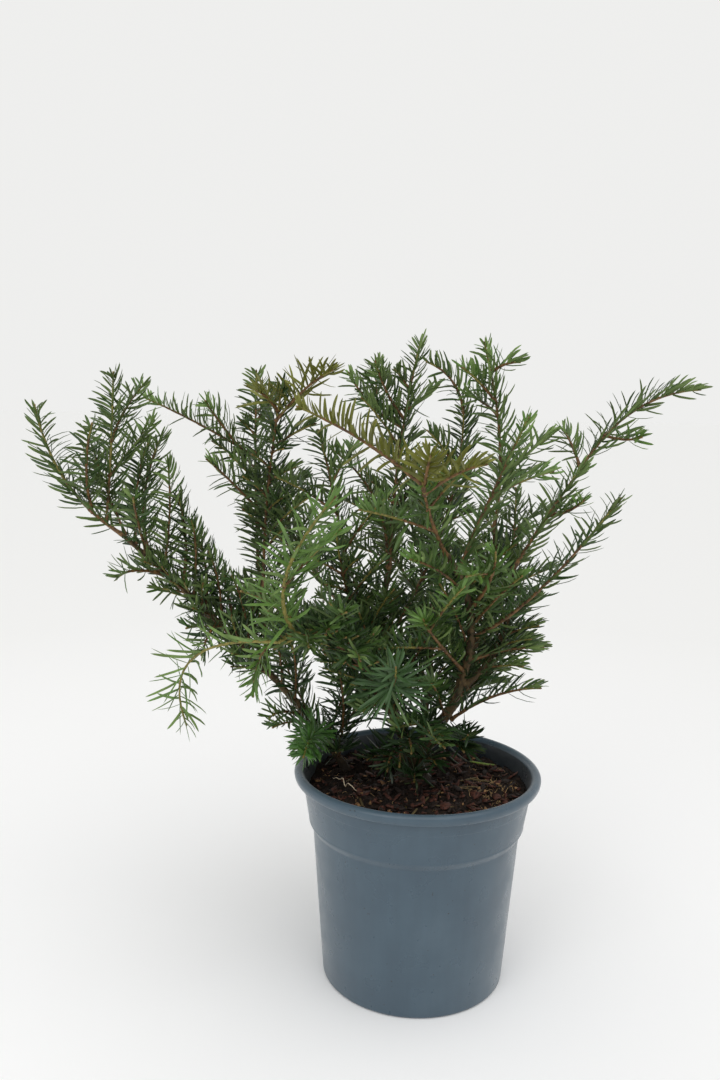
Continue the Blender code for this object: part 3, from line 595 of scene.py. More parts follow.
ROOT_LINE = np.linspace((-0.0661, 0.0095), (-0.0502, -0.0261), 20)
draw = np.random.default_rng(11)
ball, ball_faces = ball_shape()
crumb_places = scattered(CRUMBS, draw)
crumb_sizes = CRUMB_SIZE * draw.lognormal(0, 0.45, (CRUMBS, 1)) * draw.uniform(0.6, 1.3, (CRUMBS, 3))
crumb_turns = turns(draw, CRUMBS, 1.0)
crumb_dents = draw.normal(0, 0.16, (CRUMBS, len(ball)))
crumb_points, crumb_faces = copies(ball, ball_faces, crumb_places, crumb_turns, crumb_sizes, crumb_dents)
crumbs = add_piece("peat_crumbs", crumb_points, [(crumb_faces, 0)], [mix])
smooth(crumbs, 40)
flake, flake_faces = flake_shape()
loose = [crumbs]
for tint, dark, light in (
    ("dark", (0.005, 0.003, 0.002), (0.024, 0.012, 0.008)),
    ("red", (0.022, 0.007, 0.005), (0.105, 0.036, 0.022)),
    ("tan", (0.110, 0.055, 0.025), (0.340, 0.190, 0.085)),
):
    count = FLAKES[tint]
    places = scattered(count, draw, 0.93) + (0, 0, 0.0011)
    by_root = np.linalg.norm(places[:, None, :2] - ROOT_LINE[None], axis=2).min(axis=1) < 0.006
    places[by_root, 2] -= 0.003
    long = np.minimum(FLAKE_LENGTH * draw.lognormal(0, 0.40, count), FLAKE_LONGEST) * FLAKE_SCALE[tint]
    wide = long * draw.uniform(0.25, 0.7, count)
    deep = draw.uniform(0.0006, 0.0016, count)
    sizes = np.stack((long, wide, deep), axis=1)
    dents = draw.normal(0, 0.14, (count, len(flake)))
    points, faces = copies(flake, flake_faces, places, turns(draw, count, 0.36), sizes, dents)
    bark = bark_flake(f"bark_flake_{tint}", dark, light)
    loose.append(add_piece(f"bark_flakes_{tint}", points, [(faces, 0)], [bark]))


def threads(starts, headings, lengths, radii, draw, curl, lie_on=soil_height, rings=9, sides=5):
    """Thin bent tubes that lie on a surface: each heading turns steadily and wavers, and z follows it."""
    count = len(starts)
    s = np.linspace(0, 1, rings)
    steady = draw.normal(0, curl, (count, 1)) * s
    waves = draw.uniform(0.8, 2.0, (count, 1))
    bend = steady + 0.25 * curl * np.sin(2 * math.pi * s * waves)
    angle = headings[:, None] + bend
    step = lengths[:, None] / (rings - 1)
    x = starts[:, :1] + np.cumsum(np.cos(angle) * step, axis=1)
    y = starts[:, 1:2] + np.cumsum(np.sin(angle) * step, axis=1)
    hump = draw.uniform(0.0, 0.0012, (count, 1)) * np.sin(math.pi * s)
    z = lie_on(x, y) + radii[:, None] + hump
    middle = np.stack((x, y, z), axis=-1)
    across = np.stack((-np.sin(angle), np.cos(angle), np.zeros_like(angle)), axis=-1)
    over = np.broadcast_to((0.0, 0.0, 1.0), across.shape)
    turn = np.linspace(0, 2 * math.pi, sides, endpoint=False)
    slim = radii[:, None] * (0.25 + 0.75 * np.sin(math.pi * np.clip(s, 0.04, 0.96)) ** 0.5)
    ring = across[:, :, None] * np.cos(turn)[:, None] + over[:, :, None] * np.sin(turn)[:, None]
    points = middle[:, :, None] + ring * slim[:, :, None, None]
    quads = grid_faces(rings, sides)
    caps = np.array([np.arange(sides)[::-1], (rings - 1) * sides + np.arange(sides)])
    offset = np.arange(count)[:, None, None] * rings * sides
    groups = [((quads[None] + offset).reshape(-1, 4), 0), ((caps[None] + offset).reshape(-1, sides), 0)]
    return points.reshape(-1, 3), groups


straw, _ = new_material("straw_fibre", (0.54, 0.35, 0.16), 0.7)
places = scattered(FIBRES, draw, 0.93)
at_right = draw.uniform(0, 1, FIBRES) < 0.5
for axis in range(2):
    places[at_right, axis] = FIBRE_PATCH[axis] + FIBRE_SPREAD[axis] * draw.normal(0, 1, at_right.sum())
places = places[np.hypot(places[:, 0], places[:, 1]) < SOIL_RADIUS * 0.9]
count = len(places)
headings = draw.uniform(0, 2 * math.pi, count)
lengths = draw.uniform(0.0025, 0.0075, count)
radii = draw.uniform(0.00009, 0.00017, count)
points, groups = threads(places, headings, lengths, radii, draw, 0.8)
loose.append(add_piece("straw_fibres", points, groups, [straw]))

# A pale feeding root lies in a slack wave on the mix at the left, near the lip, held up by the flakes.
ROOT_LIFT = 0.0028
root_skin, _ = new_material("feeding_root", (0.78, 0.64, 0.46), 0.6)


def root_bed(x, y):
    """Height that the root lies at: the top of the mix and the thickness of the flakes on it."""
    return soil_height(x, y) + ROOT_LIFT


root_heading = np.radians([-66.0])
root_length = np.array([0.040])
root_radius = np.array([0.00042])
root_draw = np.random.default_rng(253)
points, groups = threads(
    ROOT_LINE[:1], root_heading, root_length, root_radius, root_draw, 1.2, root_bed, 25
)
loose.append(add_piece("feeding_root", points, groups, [root_skin]))
for piece in loose:
    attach(piece, "root")
    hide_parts("soil")


# Limbs: the low stool in the mix, twelve boughs, and the shoots and twigs that carry the needles.
# Each is a quadratic curve from root to tip, grown from its parent; the tables say where each one goes.
CM = 0.01
MM = 0.001
GAP = 0.0003
TRUNK_MIDDLE = (-0.002, 0.016)
TRUNK_TOP = 0.168
TRUNK_RADIUS = 0.0115
TRUNK_FLARE = 0.0150

BOUGHS = (
    ("right_bough", "trunk", (0.45, 1.5), (1.2, -6.0, 34.0), (3.0, 2.6, 0.6), 3.9, 2.3),
    ("left_low_bough", "soil", (-5.6, 2.8), (-9.2, 2.5, 20.2), (0.3, 0.0, -0.2), 3.0, 2.8),
    ("middle_bough", "trunk", (-0.35, 2.15), (-2.3, 5.7, 31.0), (-1.3, 0.6, 0.0), 3.2, 2.1),
    ("front_bough", "trunk", (-0.45, 0.95), (-10.0, -10.0, 28.6), (-0.3, -0.5, 4.2), 2.6, 1.3),
    ("back_bough", "trunk", (0.35, 2.25), (1.6, 11.0, 28.0), (0.3, -0.6, 1.2), 2.8, 1.9),
    ("left_bough", "left_low_bough", 1.0, (-22.5, -0.7, 34.3), (0.2, 0.9, -0.1), 2.7, 1.7),
    ("column_bough", "left_bough", 0.22, (-13.0, 5.5, 31.0), (0.2, -0.3, 0.0), 2.1, 1.6),
    ("inner_left_bough", "middle_bough", 0.16, (-5.5, 4.0, 28.5), (-0.5, -0.4, 0.4), 2.0, 1.5),
    ("right_top_bough", "right_bough", 0.44, (5.6, 2.2, 35.0), (0.7, 0.3, -0.5), 2.2, 1.7),
    ("long_right_bough", "right_bough", 0.28, (7.0, 0.8, 32.0), (0.9, 0.2, -0.9), 2.4, 1.8),
    ("back_left_bough", "middle_bough", 0.30, (-6.5, 9.5, 27.5), (-0.4, 0.5, -0.8), 2.1, 1.5),
    ("back_right_bough", "right_bough", 0.14, (6.0, 8.0, 26.0), (0.4, 0.5, -0.9), 2.2, 1.5),
)

# The sixth column is the spray's green: dark, for the inner, lower and back shoots, is partly their own
# colour and partly painted shade.
SHOOTS = (
    ("left_tip", "left_bough", 1.0, (-28.3, -2.0, 43.6), (-0.9, -0.1, -0.8), "green", 0),
    ("left_tip_front", "left_tip", 0.24, (-23.7, -4.0, 42.4), (-0.4, 0.0, 0.0), "green", 0),
    ("left_tip_tall", "left_tip", 0.12, (-23.4, 1.0, 46.1), (0.0, 0.3, 0.0), "green", 0),
    ("left_tip_back", "left_tip_tall", 0.55, (-21.6, 3.0, 45.4), (-0.2, 0.0, 0.2), "green", 0),
    ("left_upright", "left_bough", 0.86, (-20.4, 4.0, 41.6), (-1.1, 0.8, -0.3), "green", 0),
    ("left_tip_inner", "left_tip_tall", 0.32, (-21.3, 5.0, 42.6), (-0.2, 0.2, -0.2), "green", 0),
    ("left_inner", "left_bough", 0.70, (-18.7, 1.4, 37.0), (0.3, 0.5, 0.0), "dark", 0),
    ("left_low", "left_bough", 0.77, (-22.3, -3.0, 31.4), (-0.3, -0.5, 0.5), "green", 0),
    ("left_short", "left_bough", 0.58, (-17.4, 2.8, 33.6), (0.3, 0.2, 0.0), "dark", 0),
    ("left_stub", "left_bough", 0.40, (-15.6, 3.6, 31.0), (0.0, 0.3, 0.0), "dark", 0),
    ("left_under", "left_bough", 0.50, (-16.4, -1.8, 25.6), (0.0, -0.3, 0.4), "dark", 0),
    ("left_shoulder", "left_bough", 0.24, (-13.4, 3.8, 29.6), (-0.2, 0.2, 0.0), "dark", 0),
    ("left_foot", "left_low_bough", 0.80, (-11.4, -0.8, 20.4), (-0.2, 0.0, 0.5), "dark", 0),
    ("column", "column_bough", 1.0, (-13.5, 8.0, 46.7), (-0.2, 0.6, 0.0), "dark", 3),
    ("column_arm", "column", 0.56, (-22.3, 7.0, 44.4), (0.0, 0.3, 0.2), "green", 0),
    ("column_arm_up", "column_arm", 0.16, (-17.3, 6.0, 44.2), (-0.3, 0.0, 0.3), "green", 0),
    ("column_left", "column", 0.30, (-17.0, 5.0, 39.6), (-0.2, 0.0, 0.3), "green", 0),
    ("column_second", "column_bough", 0.62, (-10.6, -1.0, 45.6), (-0.6, 2.6, -0.2), "dark", 3),
    ("column_fan_left", "column_second", 0.88, (-12.3, -2.0, 45.0), (0.0, 0.0, 0.2), "bronze", 0),
    ("column_fan_right", "column_second", 0.84, (-7.0, -3.0, 46.5), (0.0, 0.0, 0.4), "bronze", 0),
    ("thin_upright", "inner_left_bough", 1.0, (-8.1, 3.0, 42.1), (0.2, 0.5, 0.3), "green", 3),
    ("inner_upright", "middle_bough", 0.84, (-7.1, 6.0, 40.6), (1.3, 0.3, 0.6), "green", 2),
    ("middle_top", "middle_bough", 1.0, (-0.2, 7.0, 49.4), (-0.5, 0.1, 0.0), "dark", 3),
    ("middle_top_left", "middle_top", 0.62, (-5.9, 8.0, 46.7), (-0.3, 0.2, -0.4), "green", 1),
    ("middle_top_front", "middle_top", 0.66, (-3.8, 5.0, 47.5), (-0.2, 0.0, -0.2), "green", 0),
    ("middle_top_right", "middle_top", 0.70, (1.4, 8.2, 45.9), (-0.2, 0.0, -0.3), "green", 0),
    ("right_middle", "middle_bough", 0.56, (3.2, 5.0, 44.3), (1.6, 0.2, 0.3), "dark", 4),
    ("right_middle_hook", "right_middle", 0.97, (0.3, 5.0, 47.6), (0.5, 0.0, 0.5), "green", 0),
    ("centre_left", "middle_bough", 0.40, (-6.6, 0.6, 34.6), (-0.5, 0.4, -0.8), "dark", 4),
    ("centre_front", "right_bough", 0.37, (-0.3, -7.0, 29.6), (-0.6, -0.6, 0.6), "green", 2),
    ("front_short", "middle_bough", 0.10, (-4.7, -2.6, 29.0), (-0.4, 1.0, 0.8), "dark", 3),
    ("front_rosette", "front_bough", 0.30, (-2.2, -9.0, 26.7), (0.4, -0.3, -0.7), "green", 0),
    ("low_centre", "right_bough", 0.10, (-0.9, -4.6, 21.4), (0.2, -0.4, 0.4), "dark", 2),
    ("low_tuft", "front_bough", 0.07, (-1.5, -2.8, 17.6), (0.0, 0.0, 0.3), "dark", 0),
    ("right_foot", "right_bough", 0.05, (4.0, -0.8, 18.2), (0.0, 0.0, 0.3), "dark", 1),
    ("front_arch", "right_bough", 1.0, (-1.0, -13.0, 39.4), (-0.2, 0.3, 0.0), "bronze", 2),
    ("front_arch_left", "front_arch", 0.97, (-8.6, -13.0, 43.9), (0.2, 0.0, 0.3), "bronze", 0),
    ("front_arch_near", "front_arch", 0.92, (-0.8, -16.0, 41.2), (0.0, 0.0, 0.2), "bronze", 0),
    ("front_arch_right", "front_arch", 0.86, (2.6, -14.0, 40.7), (0.0, 0.0, 0.3), "bronze", 0),
    ("right_top", "right_top_bough", 1.0, (4.3, 2.0, 48.9), (0.8, 0.0, -0.3), "green", 2),
    ("right_top_out", "right_top", 0.86, (6.6, 0.0, 47.5), (0.0, 0.0, 0.2), "green", 0),
    ("right_top_in", "right_top", 0.64, (3.3, 4.0, 45.2), (0.0, 0.0, 0.2), "green", 0),
    ("right_inner", "right_bough", 0.90, (6.6, -5.0, 43.4), (-0.1, 0.6, -0.3), "green", 1),
    ("right_fill", "right_bough", 0.70, (4.4, -7.5, 34.4), (0.4, 0.0, 0.0), "green", 1),
    ("long_right", "long_right_bough", 1.0, (12.2, 1.9, 40.0), (-0.1, 0.1, 0.0), "green", 0),
    ("long_right_end", "long_right", 0.98, (20.6, 2.0, 45.8), (-0.5, 0.2, 1.3), "green", 0),
    ("long_right_up", "long_right", 0.96, (10.9, 4.0, 42.6), (0.0, 0.0, 0.3), "green", 0),
    ("long_right_out", "long_right_end", 0.24, (15.6, -1.0, 42.2), (0.2, 0.0, -0.2), "green", 0),
    ("long_right_low", "long_right", 0.52, (11.7, -0.6, 37.4), (0.2, 0.0, -0.2), "green", 0),
    ("right_arm", "right_bough", 0.54, (13.5, -4.0, 37.9), (-0.3, 0.0, -1.4), "green", 0),
    ("right_low", "right_bough", 0.42, (8.9, 0.0, 26.1), (0.0, 0.2, 0.2), "green", 0),
    ("right_back_low", "right_bough", 0.22, (7.3, 5.0, 24.4), (0.0, 0.3, -0.2), "dark", 0),
    ("right_droop", "right_bough", 0.11, (9.0, -1.0, 23.2), (0.0, 0.4, 0.5), "dark", 0),
    ("low_left", "front_bough", 1.0, (-17.2, -4.0, 20.9), (-2.6, 0.0, 1.8), "fresh", 0),
    ("fresh_front", "front_bough", 0.88, (-6.4, -14.0, 38.5), (-1.6, -0.7, -0.4), "fresh", 1),
    ("fresh_tuft", "left_low_bough", 0.55, (-8.5, -5.6, 19.2), (0.0, 0.0, 1.0), "fresh", 0),
    ("back_top", "back_bough", 1.0, (2.0, 17.5, 39.5), (0.0, 1.2, -0.8), "dark", 5),
    ("back_centre", "back_bough", 0.76, (-4.2, 16.0, 38.0), (-0.3, 0.8, -0.8), "dark", 4),
    ("back_low", "back_bough", 0.52, (2.6, 18.5, 26.8), (0.0, 0.6, -0.2), "dark", 3),
    ("back_left", "back_left_bough", 1.0, (-12.6, 15.0, 38.0), (-0.8, 0.8, -0.8), "dark", 5),
    ("back_left_low", "back_left_bough", 0.60, (-9.6, 15.2, 24.6), (-0.4, 0.4, 0.3), "dark", 3),
    ("back_right", "back_right_bough", 1.0, (9.2, 15.0, 37.0), (0.8, 0.6, -0.8), "dark", 3),
    ("back_right_low", "back_right_bough", 0.60, (9.0, 12.0, 25.6), (0.3, 0.4, 0.4), "dark", 1),
)

# Twigs that the seeded rule adds, first those of the source, then the finer ones between them.
TWIG_ANGLE = math.radians(48)
TWIG_LENGTH = 0.062
TWIGS_FROM = 0.16
TWIGS_OVER = 0.66
TWIG_CLEARANCE = 0.007
FINE_TWIG_LENGTH = {"bough": 0.040, "shoot": 0.028}
FINE_TWIG_PITCH = {"bough": 0.008, "shoot": 0.022}
FINE_TWIG_CLEARANCE = 0.0035
POT_CLEARANCE = 0.006
LIMB_RADIUS = {"mass": 0.0015, "shoot": 0.0012, "twig": 0.0010, "fine": 0.0008}
OWN_RADIUS = {"low_left": 0.0010}
SHOOT_TIP_RADIUS = 0.0007


def unit(vectors):
    """Vectors of length one, over the last axis."""
    return vectors / np.linalg.norm(vectors, axis=-1, keepdims=True)


class Limb:
    """A quadratic curve from root to tip, its middle drawn aside by its bow, with a radius at each end."""

    def __init__(self, name, mass, kind, root, tip, bow, thick, thin):
        self.name = name
        self.mass = mass
        self.kind = kind
        self.root = np.array(root, float)
        self.tip = np.array(tip, float)
        self.control = (self.root + self.tip) / 2 + 2 * np.array(bow, float)
        self.thick = thick
        self.thin = thin
        self.length = float(np.linalg.norm(np.diff(self.at(np.linspace(0, 1, 33)), axis=0), axis=1).sum())

    def at(self, along):
        t = np.atleast_1d(along)[:, None]
        return (1 - t) ** 2 * self.root + 2 * t * (1 - t) * self.control + t**2 * self.tip

    def heading(self, along):
        t = np.atleast_1d(along)[:, None]
        return unit((1 - t) * (self.control - self.root) + t * (self.tip - self.control))

    def radius(self, along):
        return self.thick + (self.thin - self.thick) * np.asarray(along, float)

    def skeleton(self, step=0.002):
        return self.at(np.linspace(0, 1, max(3, int(self.length / step) + 1)))


def sideways(heading):
    """Two directions square to a heading, as the frame that the twigs and rings are laid out in."""
    guide = np.array((0.0, -1.0, 0.0)) if abs(heading[2]) > 0.8 else np.array((0.0, 0.0, 1.0))
    across = unit(np.cross(heading, guide))
    return across, np.cross(heading, across)


def root_beside(parent, along, tip, bow, own_radius):
    """Where a limb leaves its parent's bark: out along its aim until its first ring is just clear."""
    if along >= 0.999:
        return parent.tip + parent.heading(1.0)[0] * GAP
    foot = parent.at(along)[0]
    aim = unit((foot + tip) / 2 + 2 * bow - foot)
    near = np.linspace(max(0.0, along - 0.15), min(1.0, along + 0.15), 121)
    bark_points = parent.at(near)
    bark_radii = parent.radius(near)
    out = 0.0
    while True:
        out += 0.0001
        root = foot + aim * out
        heading = unit((root + tip) / 2 + 2 * bow - root)
        across, over = sideways(heading)
        turn = np.linspace(0, 2 * math.pi, 13)[:, None]
        ring = root + (across * np.cos(turn) + over * np.sin(turn)) * own_radius
        away = np.linalg.norm(ring[:, None] - bark_points[None], axis=2) - bark_radii[None]
        if away.min() > GAP * 1.2:
            return root


def clear_of_pot(points, margin):
    """True for each point that is above the mix or outside the lip by the margin."""
    radius = np.hypot(points[..., 0], points[..., 1])
    height = points[..., 2]
    over_soil = (radius < SOIL_RADIUS - margin) & (height > SOIL_LEVEL + margin)
    return over_soil | (height > POT_HEIGHT + margin) | (radius > LIP_RADIUS + margin)


def side_twigs(limb, count, seed, length):
    """Candidates along a limb: they alternate, lean forward and shorten toward its tip."""
    draw = random.Random(seed)
    for k in range(count):
        along = TWIGS_FROM + TWIGS_OVER * (k + draw.uniform(0.3, 0.7)) / count
        root = limb.at(along)[0]
        heading = limb.heading(along)[0]
        across, over = sideways(heading)
        turn = math.radians((k % 2) * 180 + draw.uniform(-50, 50))
        outward = across * math.cos(turn) + over * math.sin(turn)
        aim = heading * math.cos(TWIG_ANGLE) + outward * math.sin(TWIG_ANGLE)
        reach = length * (1.1 - 0.6 * along) * draw.uniform(0.8, 1.15)
        yield root, root + aim * reach, heading * reach * 0.05


class Crown:
    """Every limb grown so far, with the points along it, so that a new twig keeps clear of the rest."""

    def __init__(self):
        self.limbs = {}
        self.points = np.zeros((0, 3))
        self.radii = np.zeros(0)
        self.owners = np.zeros(0, int)
        self.masses = []

    def mass_number(self, mass):
        if mass not in self.masses:
            self.masses.append(mass)
        return self.masses.index(mass)

    def add(self, limb):
        points = limb.skeleton()
        self.limbs[limb.name] = limb
        self.points = np.vstack((self.points, points))
        self.radii = np.concatenate((self.radii, limb.radius(np.linspace(0, 1, len(points)))))
        self.owners = np.concatenate((self.owners, np.full(len(points), self.mass_number(limb.mass))))

    def has_room(self, twig, clearance, skip=4):
        """True where the twig, past its first few millimetres, is clear of every limb and of the pot."""
        far = twig.skeleton()[skip:]
        away = np.linalg.norm(far[:, None, :] - self.points[None], axis=2) - self.radii[None]
        own = self.owners == self.mass_number(twig.mass)
        if away[:, ~own].min() < clearance or away[len(far) // 3 :, own].min() < clearance * 0.6:
            return False
        return bool(clear_of_pot(far, POT_CLEARANCE).all())


crown = Crown()
ground = np.array((*TRUNK_MIDDLE, 0.0))
crown.add(
    Limb(
        "trunk",
        "trunk",
        "bough",
        ground + (0.0, 0.0, SOIL_LEVEL + GAP),
        ground + (0.0, 0.0, TRUNK_TOP),
        (0.0, 0.0, 0.0),
        TRUNK_RADIUS * 1.06,
        TRUNK_RADIUS,
    )
)
for name, parent, place, tip, bow, thick, thin in BOUGHS:
    tip = np.array(tip) * CM
    bow = np.array(bow) * CM
    if isinstance(place, tuple):
        under = TRUNK_TOP if parent == "trunk" else SOIL_LEVEL
        root = np.array((place[0] * CM, place[1] * CM, under + GAP))
    else:
        root = root_beside(crown.limbs[parent], place, tip, bow, thick * MM)
    crown.add(Limb(name, name, "bough", root, tip, bow, thick * MM, thin * MM))
bough_names = list(crown.limbs)
green_of = {}
for name, parent, place, tip, bow, green, _ in SHOOTS:
    tip = np.array(tip) * CM
    bow = np.array(bow) * CM
    parent_limb = crown.limbs[parent]
    if parent in bough_names:
        root = root_beside(parent_limb, place, tip, bow, LIMB_RADIUS["mass"])
        thick = OWN_RADIUS.get(name, LIMB_RADIUS["mass"])
        limb = Limb(name, name, "shoot", root, tip, bow, thick, SHOOT_TIP_RADIUS)
    else:
        root = parent_limb.at(min(place, 0.98))[0]
        limb = Limb(name, parent_limb.mass, "shoot", root, tip, bow, LIMB_RADIUS["shoot"], SHOOT_TIP_RADIUS)
    green_of[name] = green
    crown.add(limb)
for order, (name, _, _, _, _, green, twigs) in enumerate(SHOOTS):
    parent_limb = crown.limbs[name]
    for k, (root, tip, bow) in enumerate(side_twigs(parent_limb, twigs, 100 + order, TWIG_LENGTH)):
        twig_name = f"{name}_{k + 1}"
        thick = LIMB_RADIUS["twig"]
        twig = Limb(twig_name, parent_limb.mass, "twig", root, tip, bow, thick, SHOOT_TIP_RADIUS)
        if crown.has_room(twig, TWIG_CLEARANCE):
            green_of[twig.name] = green
            crown.add(twig)

# A limb that only grows here, on a bough, belongs to the mass whose stem is nearest to its tip.
mass_stems = [crown.limbs[name] for name, parent, *_ in SHOOTS if parent in bough_names]


def nearest_mass(point):
    """The mass whose own stem comes nearest to the point."""
    return min(mass_stems, key=lambda stem: np.linalg.norm(stem.skeleton(0.01) - point, axis=1).min()).mass


# Short shoots that close the gaps between the long ones along the boughs, laid out like the shoots above.
FILLING = (
    ("fill_tip_low", "left_bough", 0.97, (-24.9, 0.6, 40.6), (-0.3, 0.2, 0.2), "green"),
    ("fill_tip_back", "left_bough", 0.93, (-21.2, 2.2, 40.8), (-0.5, 0.4, 0.0), "dark"),
    ("fill_edge", "left_bough", 0.80, (-19.5, 1.6, 39.6), (0.2, 0.4, -0.2), "green"),
    ("fill_near", "left_bough", 0.88, (-20.6, -5.0, 37.4), (-0.2, 0.0, 0.6), "green"),
    ("fill_ridge_a", "left_bough", 0.64, (-17.4, 0.2, 35.2), (0.2, 0.0, 0.3), "dark"),
    ("fill_ridge_b", "left_bough", 0.48, (-16.2, 0.6, 32.8), (0.2, 0.0, 0.3), "dark"),
    ("fill_ridge_c", "left_bough", 0.32, (-14.4, 0.4, 31.0), (0.2, 0.0, 0.3), "dark"),
    ("fill_ridge_d", "left_bough", 0.12, (-11.6, 0.0, 28.4), (0.2, 0.0, 0.3), "dark"),
    ("fill_ridge_e", "left_bough", 0.04, (-9.8, -1.6, 26.6), (0.2, 0.0, 0.3), "dark"),
    ("fill_low_up", "left_low_bough", 0.30, (-6.9, -0.6, 27.0), (0.8, -0.9, -0.4), "dark"),
    ("fill_low_in", "left_low_bough", 0.52, (-5.0, 2.0, 24.6), (0.2, 0.2, 0.2), "dark"),
    ("fill_low_out", "left_low_bough", 0.60, (-11.0, -1.4, 19.9), (0.2, 0.0, 0.6), "dark"),
    ("fill_low_back", "left_low_bough", 0.70, (-11.2, 6.0, 24.0), (0.0, 0.2, -0.4), "dark"),
    ("fill_mid_a", "middle_bough", 0.22, (-6.4, -0.4, 26.0), (-0.2, 0.0, -0.4), "dark"),
    ("fill_mid_b", "middle_bough", 0.34, (1.6, 0.6, 29.0), (0.2, 0.0, -0.4), "dark"),
    ("fill_mid_c", "middle_bough", 0.48, (-5.6, 1.8, 32.4), (-0.2, 0.0, -0.3), "dark"),
    ("fill_front_a", "front_bough", 0.20, (-4.2, -5.6, 22.6), (0.0, 0.0, 0.3), "dark"),
    ("fill_front_b", "front_bough", 0.42, (-7.2, -3.0, 26.4), (0.0, 0.0, 0.3), "dark"),
    ("fill_front_c", "front_bough", 0.50, (-4.6, -9.6, 27.4), (0.0, 0.0, 0.3), "green"),
    ("fill_right_a", "right_bough", 0.16, (0.6, -4.6, 24.4), (0.0, 0.0, 0.3), "dark"),
    ("fill_right_d", "right_bough", 0.48, (1.0, -4.4, 31.6), (0.0, 0.0, 0.3), "dark"),
    ("fill_right_e", "right_bough", 0.60, (6.6, -5.0, 32.4), (0.0, 0.0, 0.2), "green"),
    ("fill_right_f", "right_bough", 0.78, (-1.4, -9.6, 34.2), (0.0, 0.0, 0.3), "green"),
    ("fill_hang", "front_bough", 0.86, (-11.8, -8.6, 24.6), (-0.6, 0.0, 0.9), "fresh"),
    ("fill_fresh_a", "front_bough", 0.80, (-12.4, -9.4, 31.8), (0.0, 0.0, 0.3), "fresh"),
    ("fill_fresh_b", "front_bough", 0.66, (-5.6, -10.6, 30.8), (0.0, 0.0, 0.3), "green"),
    ("foot_a", "front_bough", 0.04, (-2.4, -3.2, 17.4), (-0.2, -0.2, 0.5), "dark"),
    ("foot_b", "trunk", 0.55, (1.2, -2.8, 17.8), (0.0, -0.2, 0.4), "dark"),
    ("foot_c", "right_bough", 0.04, (3.2, -2.8, 18.8), (0.2, -0.2, 0.4), "dark"),
    ("foot_d", "trunk", 0.40, (-3.8, -0.6, 17.2), (-0.1, -0.1, 0.4), "dark"),
    ("foot_e", "front_bough", 0.10, (-0.8, -5.4, 19.6), (0.2, -0.2, 0.4), "dark"),
    ("foot_f", "left_low_bough", 0.22, (-6.2, -3.0, 18.6), (0.2, -0.2, 0.4), "dark"),
    ("foot_h", "trunk", 0.30, (-0.4, -3.4, 16.6), (0.0, -0.2, 0.3), "dark"),
    ("foot_g", "left_low_bough", 0.44, (-4.4, 0.8, 21.6), (0.2, -0.2, 0.2), "dark"),
)
for name, parent, place, tip, bow, green in FILLING:
    tip = np.array(tip) * CM
    bow = np.array(bow) * CM
    root = root_beside(crown.limbs[parent], place, tip, bow, LIMB_RADIUS["twig"])
    limb = Limb(name, nearest_mass(tip), "shoot", root, tip, bow, LIMB_RADIUS["twig"], SHOOT_TIP_RADIUS)
    green_of[name] = green
    crown.add(limb)

bushy_names = {name for name, *_, green, twigs in SHOOTS if twigs and green == "dark"}
bushy_names |= set(bough_names[1:])
bushy_limbs = [limb for limb in crown.limbs.values() if limb.name in bushy_names]
# Fine twigs on the boughs lie inside the crown and take dark sprays: partly their own colour, partly
# painted shade.
for order, limb in enumerate(bushy_limbs):
    count = int(limb.length / FINE_TWIG_PITCH[limb.kind])
    grown = side_twigs(limb, count, 500 + order, FINE_TWIG_LENGTH[limb.kind])
    for k, (root, tip, bow) in enumerate(grown):
        mass = nearest_mass(tip) if limb.kind == "bough" else limb.mass
        twig_name = f"{limb.name}_fine_{k + 1}"
        twig = Limb(twig_name, mass, "fine", root, tip, bow, LIMB_RADIUS["fine"], SHOOT_TIP_RADIUS)
        if crown.has_room(twig, FINE_TWIG_CLEARANCE):
            green_of[twig.name] = "dark" if limb.kind == "bough" else green_of[limb.name]
            crown.add(twig)


# Bark: thin, scaly and red-brown on the boughs, peeling in small flakes that leave paler patches.
# One skin runs over the stool and the boughs; each bough starts inside the one it grows from.
RING_STEP = 0.0016
BOUGH_SIDES = 20
# Painted shade: over these heights the bark darkens toward the mix, for the shadow under the low crown.
BARK_SHADE_HEIGHTS = (SOIL_LEVEL + 0.004, SOIL_LEVEL + 0.022)
BARK_SHADE_SHARE = 0.85


def limb_tube(limb, step, sides, relief, start=0.0, stop=1.0, swell=0.0, sink=0.0):
    """Rings carried along the limb's curve: radius times one plus the relief there, swollen at the root.

    A quadratic curve lies in a plane, so its rings are laid out from that plane's own normal without twist.
    """
    rings = max(4, int(limb.length * (stop - start) / step))
    along = np.linspace(start, stop, rings + 1)
    middle = limb.at(along)
    heading = limb.heading(along)
    first = limb.heading(0.0)[0]
    last = limb.heading(1.0)[0]
    flat = np.cross(first, last)
    flat = unit(flat) if np.linalg.norm(flat) > 1e-4 else sideways(first)[0]
    if sink:
        middle = np.vstack((middle[:1] - heading[:1] * sink, middle))
        heading = np.vstack((heading[:1], heading))
        along = np.concatenate((along[:1], along))
    over = np.cross(heading, flat)
    turn = np.linspace(0, 2 * math.pi, sides, endpoint=False)
    ring = flat[None, None] * np.cos(turn)[None, :, None] + over[:, None] * np.sin(turn)[None, :, None]
    radius = limb.radius(along) * (1 + swell * np.exp(-along * limb.length / (2 * limb.thick)))
    bark_line = middle[:, None] + ring * radius[:, None, None]
    points = middle[:, None] + ring * (radius[:, None] * (1 + relief(bark_line)))[..., None]
    ends = np.stack((middle[0] - heading[0] * radius[0] * 0.3, middle[-1] + heading[-1] * radius[-1] * 0.6))
    rows = len(middle)
    side = np.arange(sides)
    beside = (side + 1) % sides
    count = rows * sides
    start_fan = np.stack((np.full(sides, count), beside, side), axis=1)
    end_fan = np.stack((count - sides + side, count - sides + beside, np.full(sides, count + 1)), axis=1)
    fans = np.vstack((start_fan, end_fan))
    return np.vstack((points.reshape(-1, 3), ends)), grid_faces(rows, sides), fans


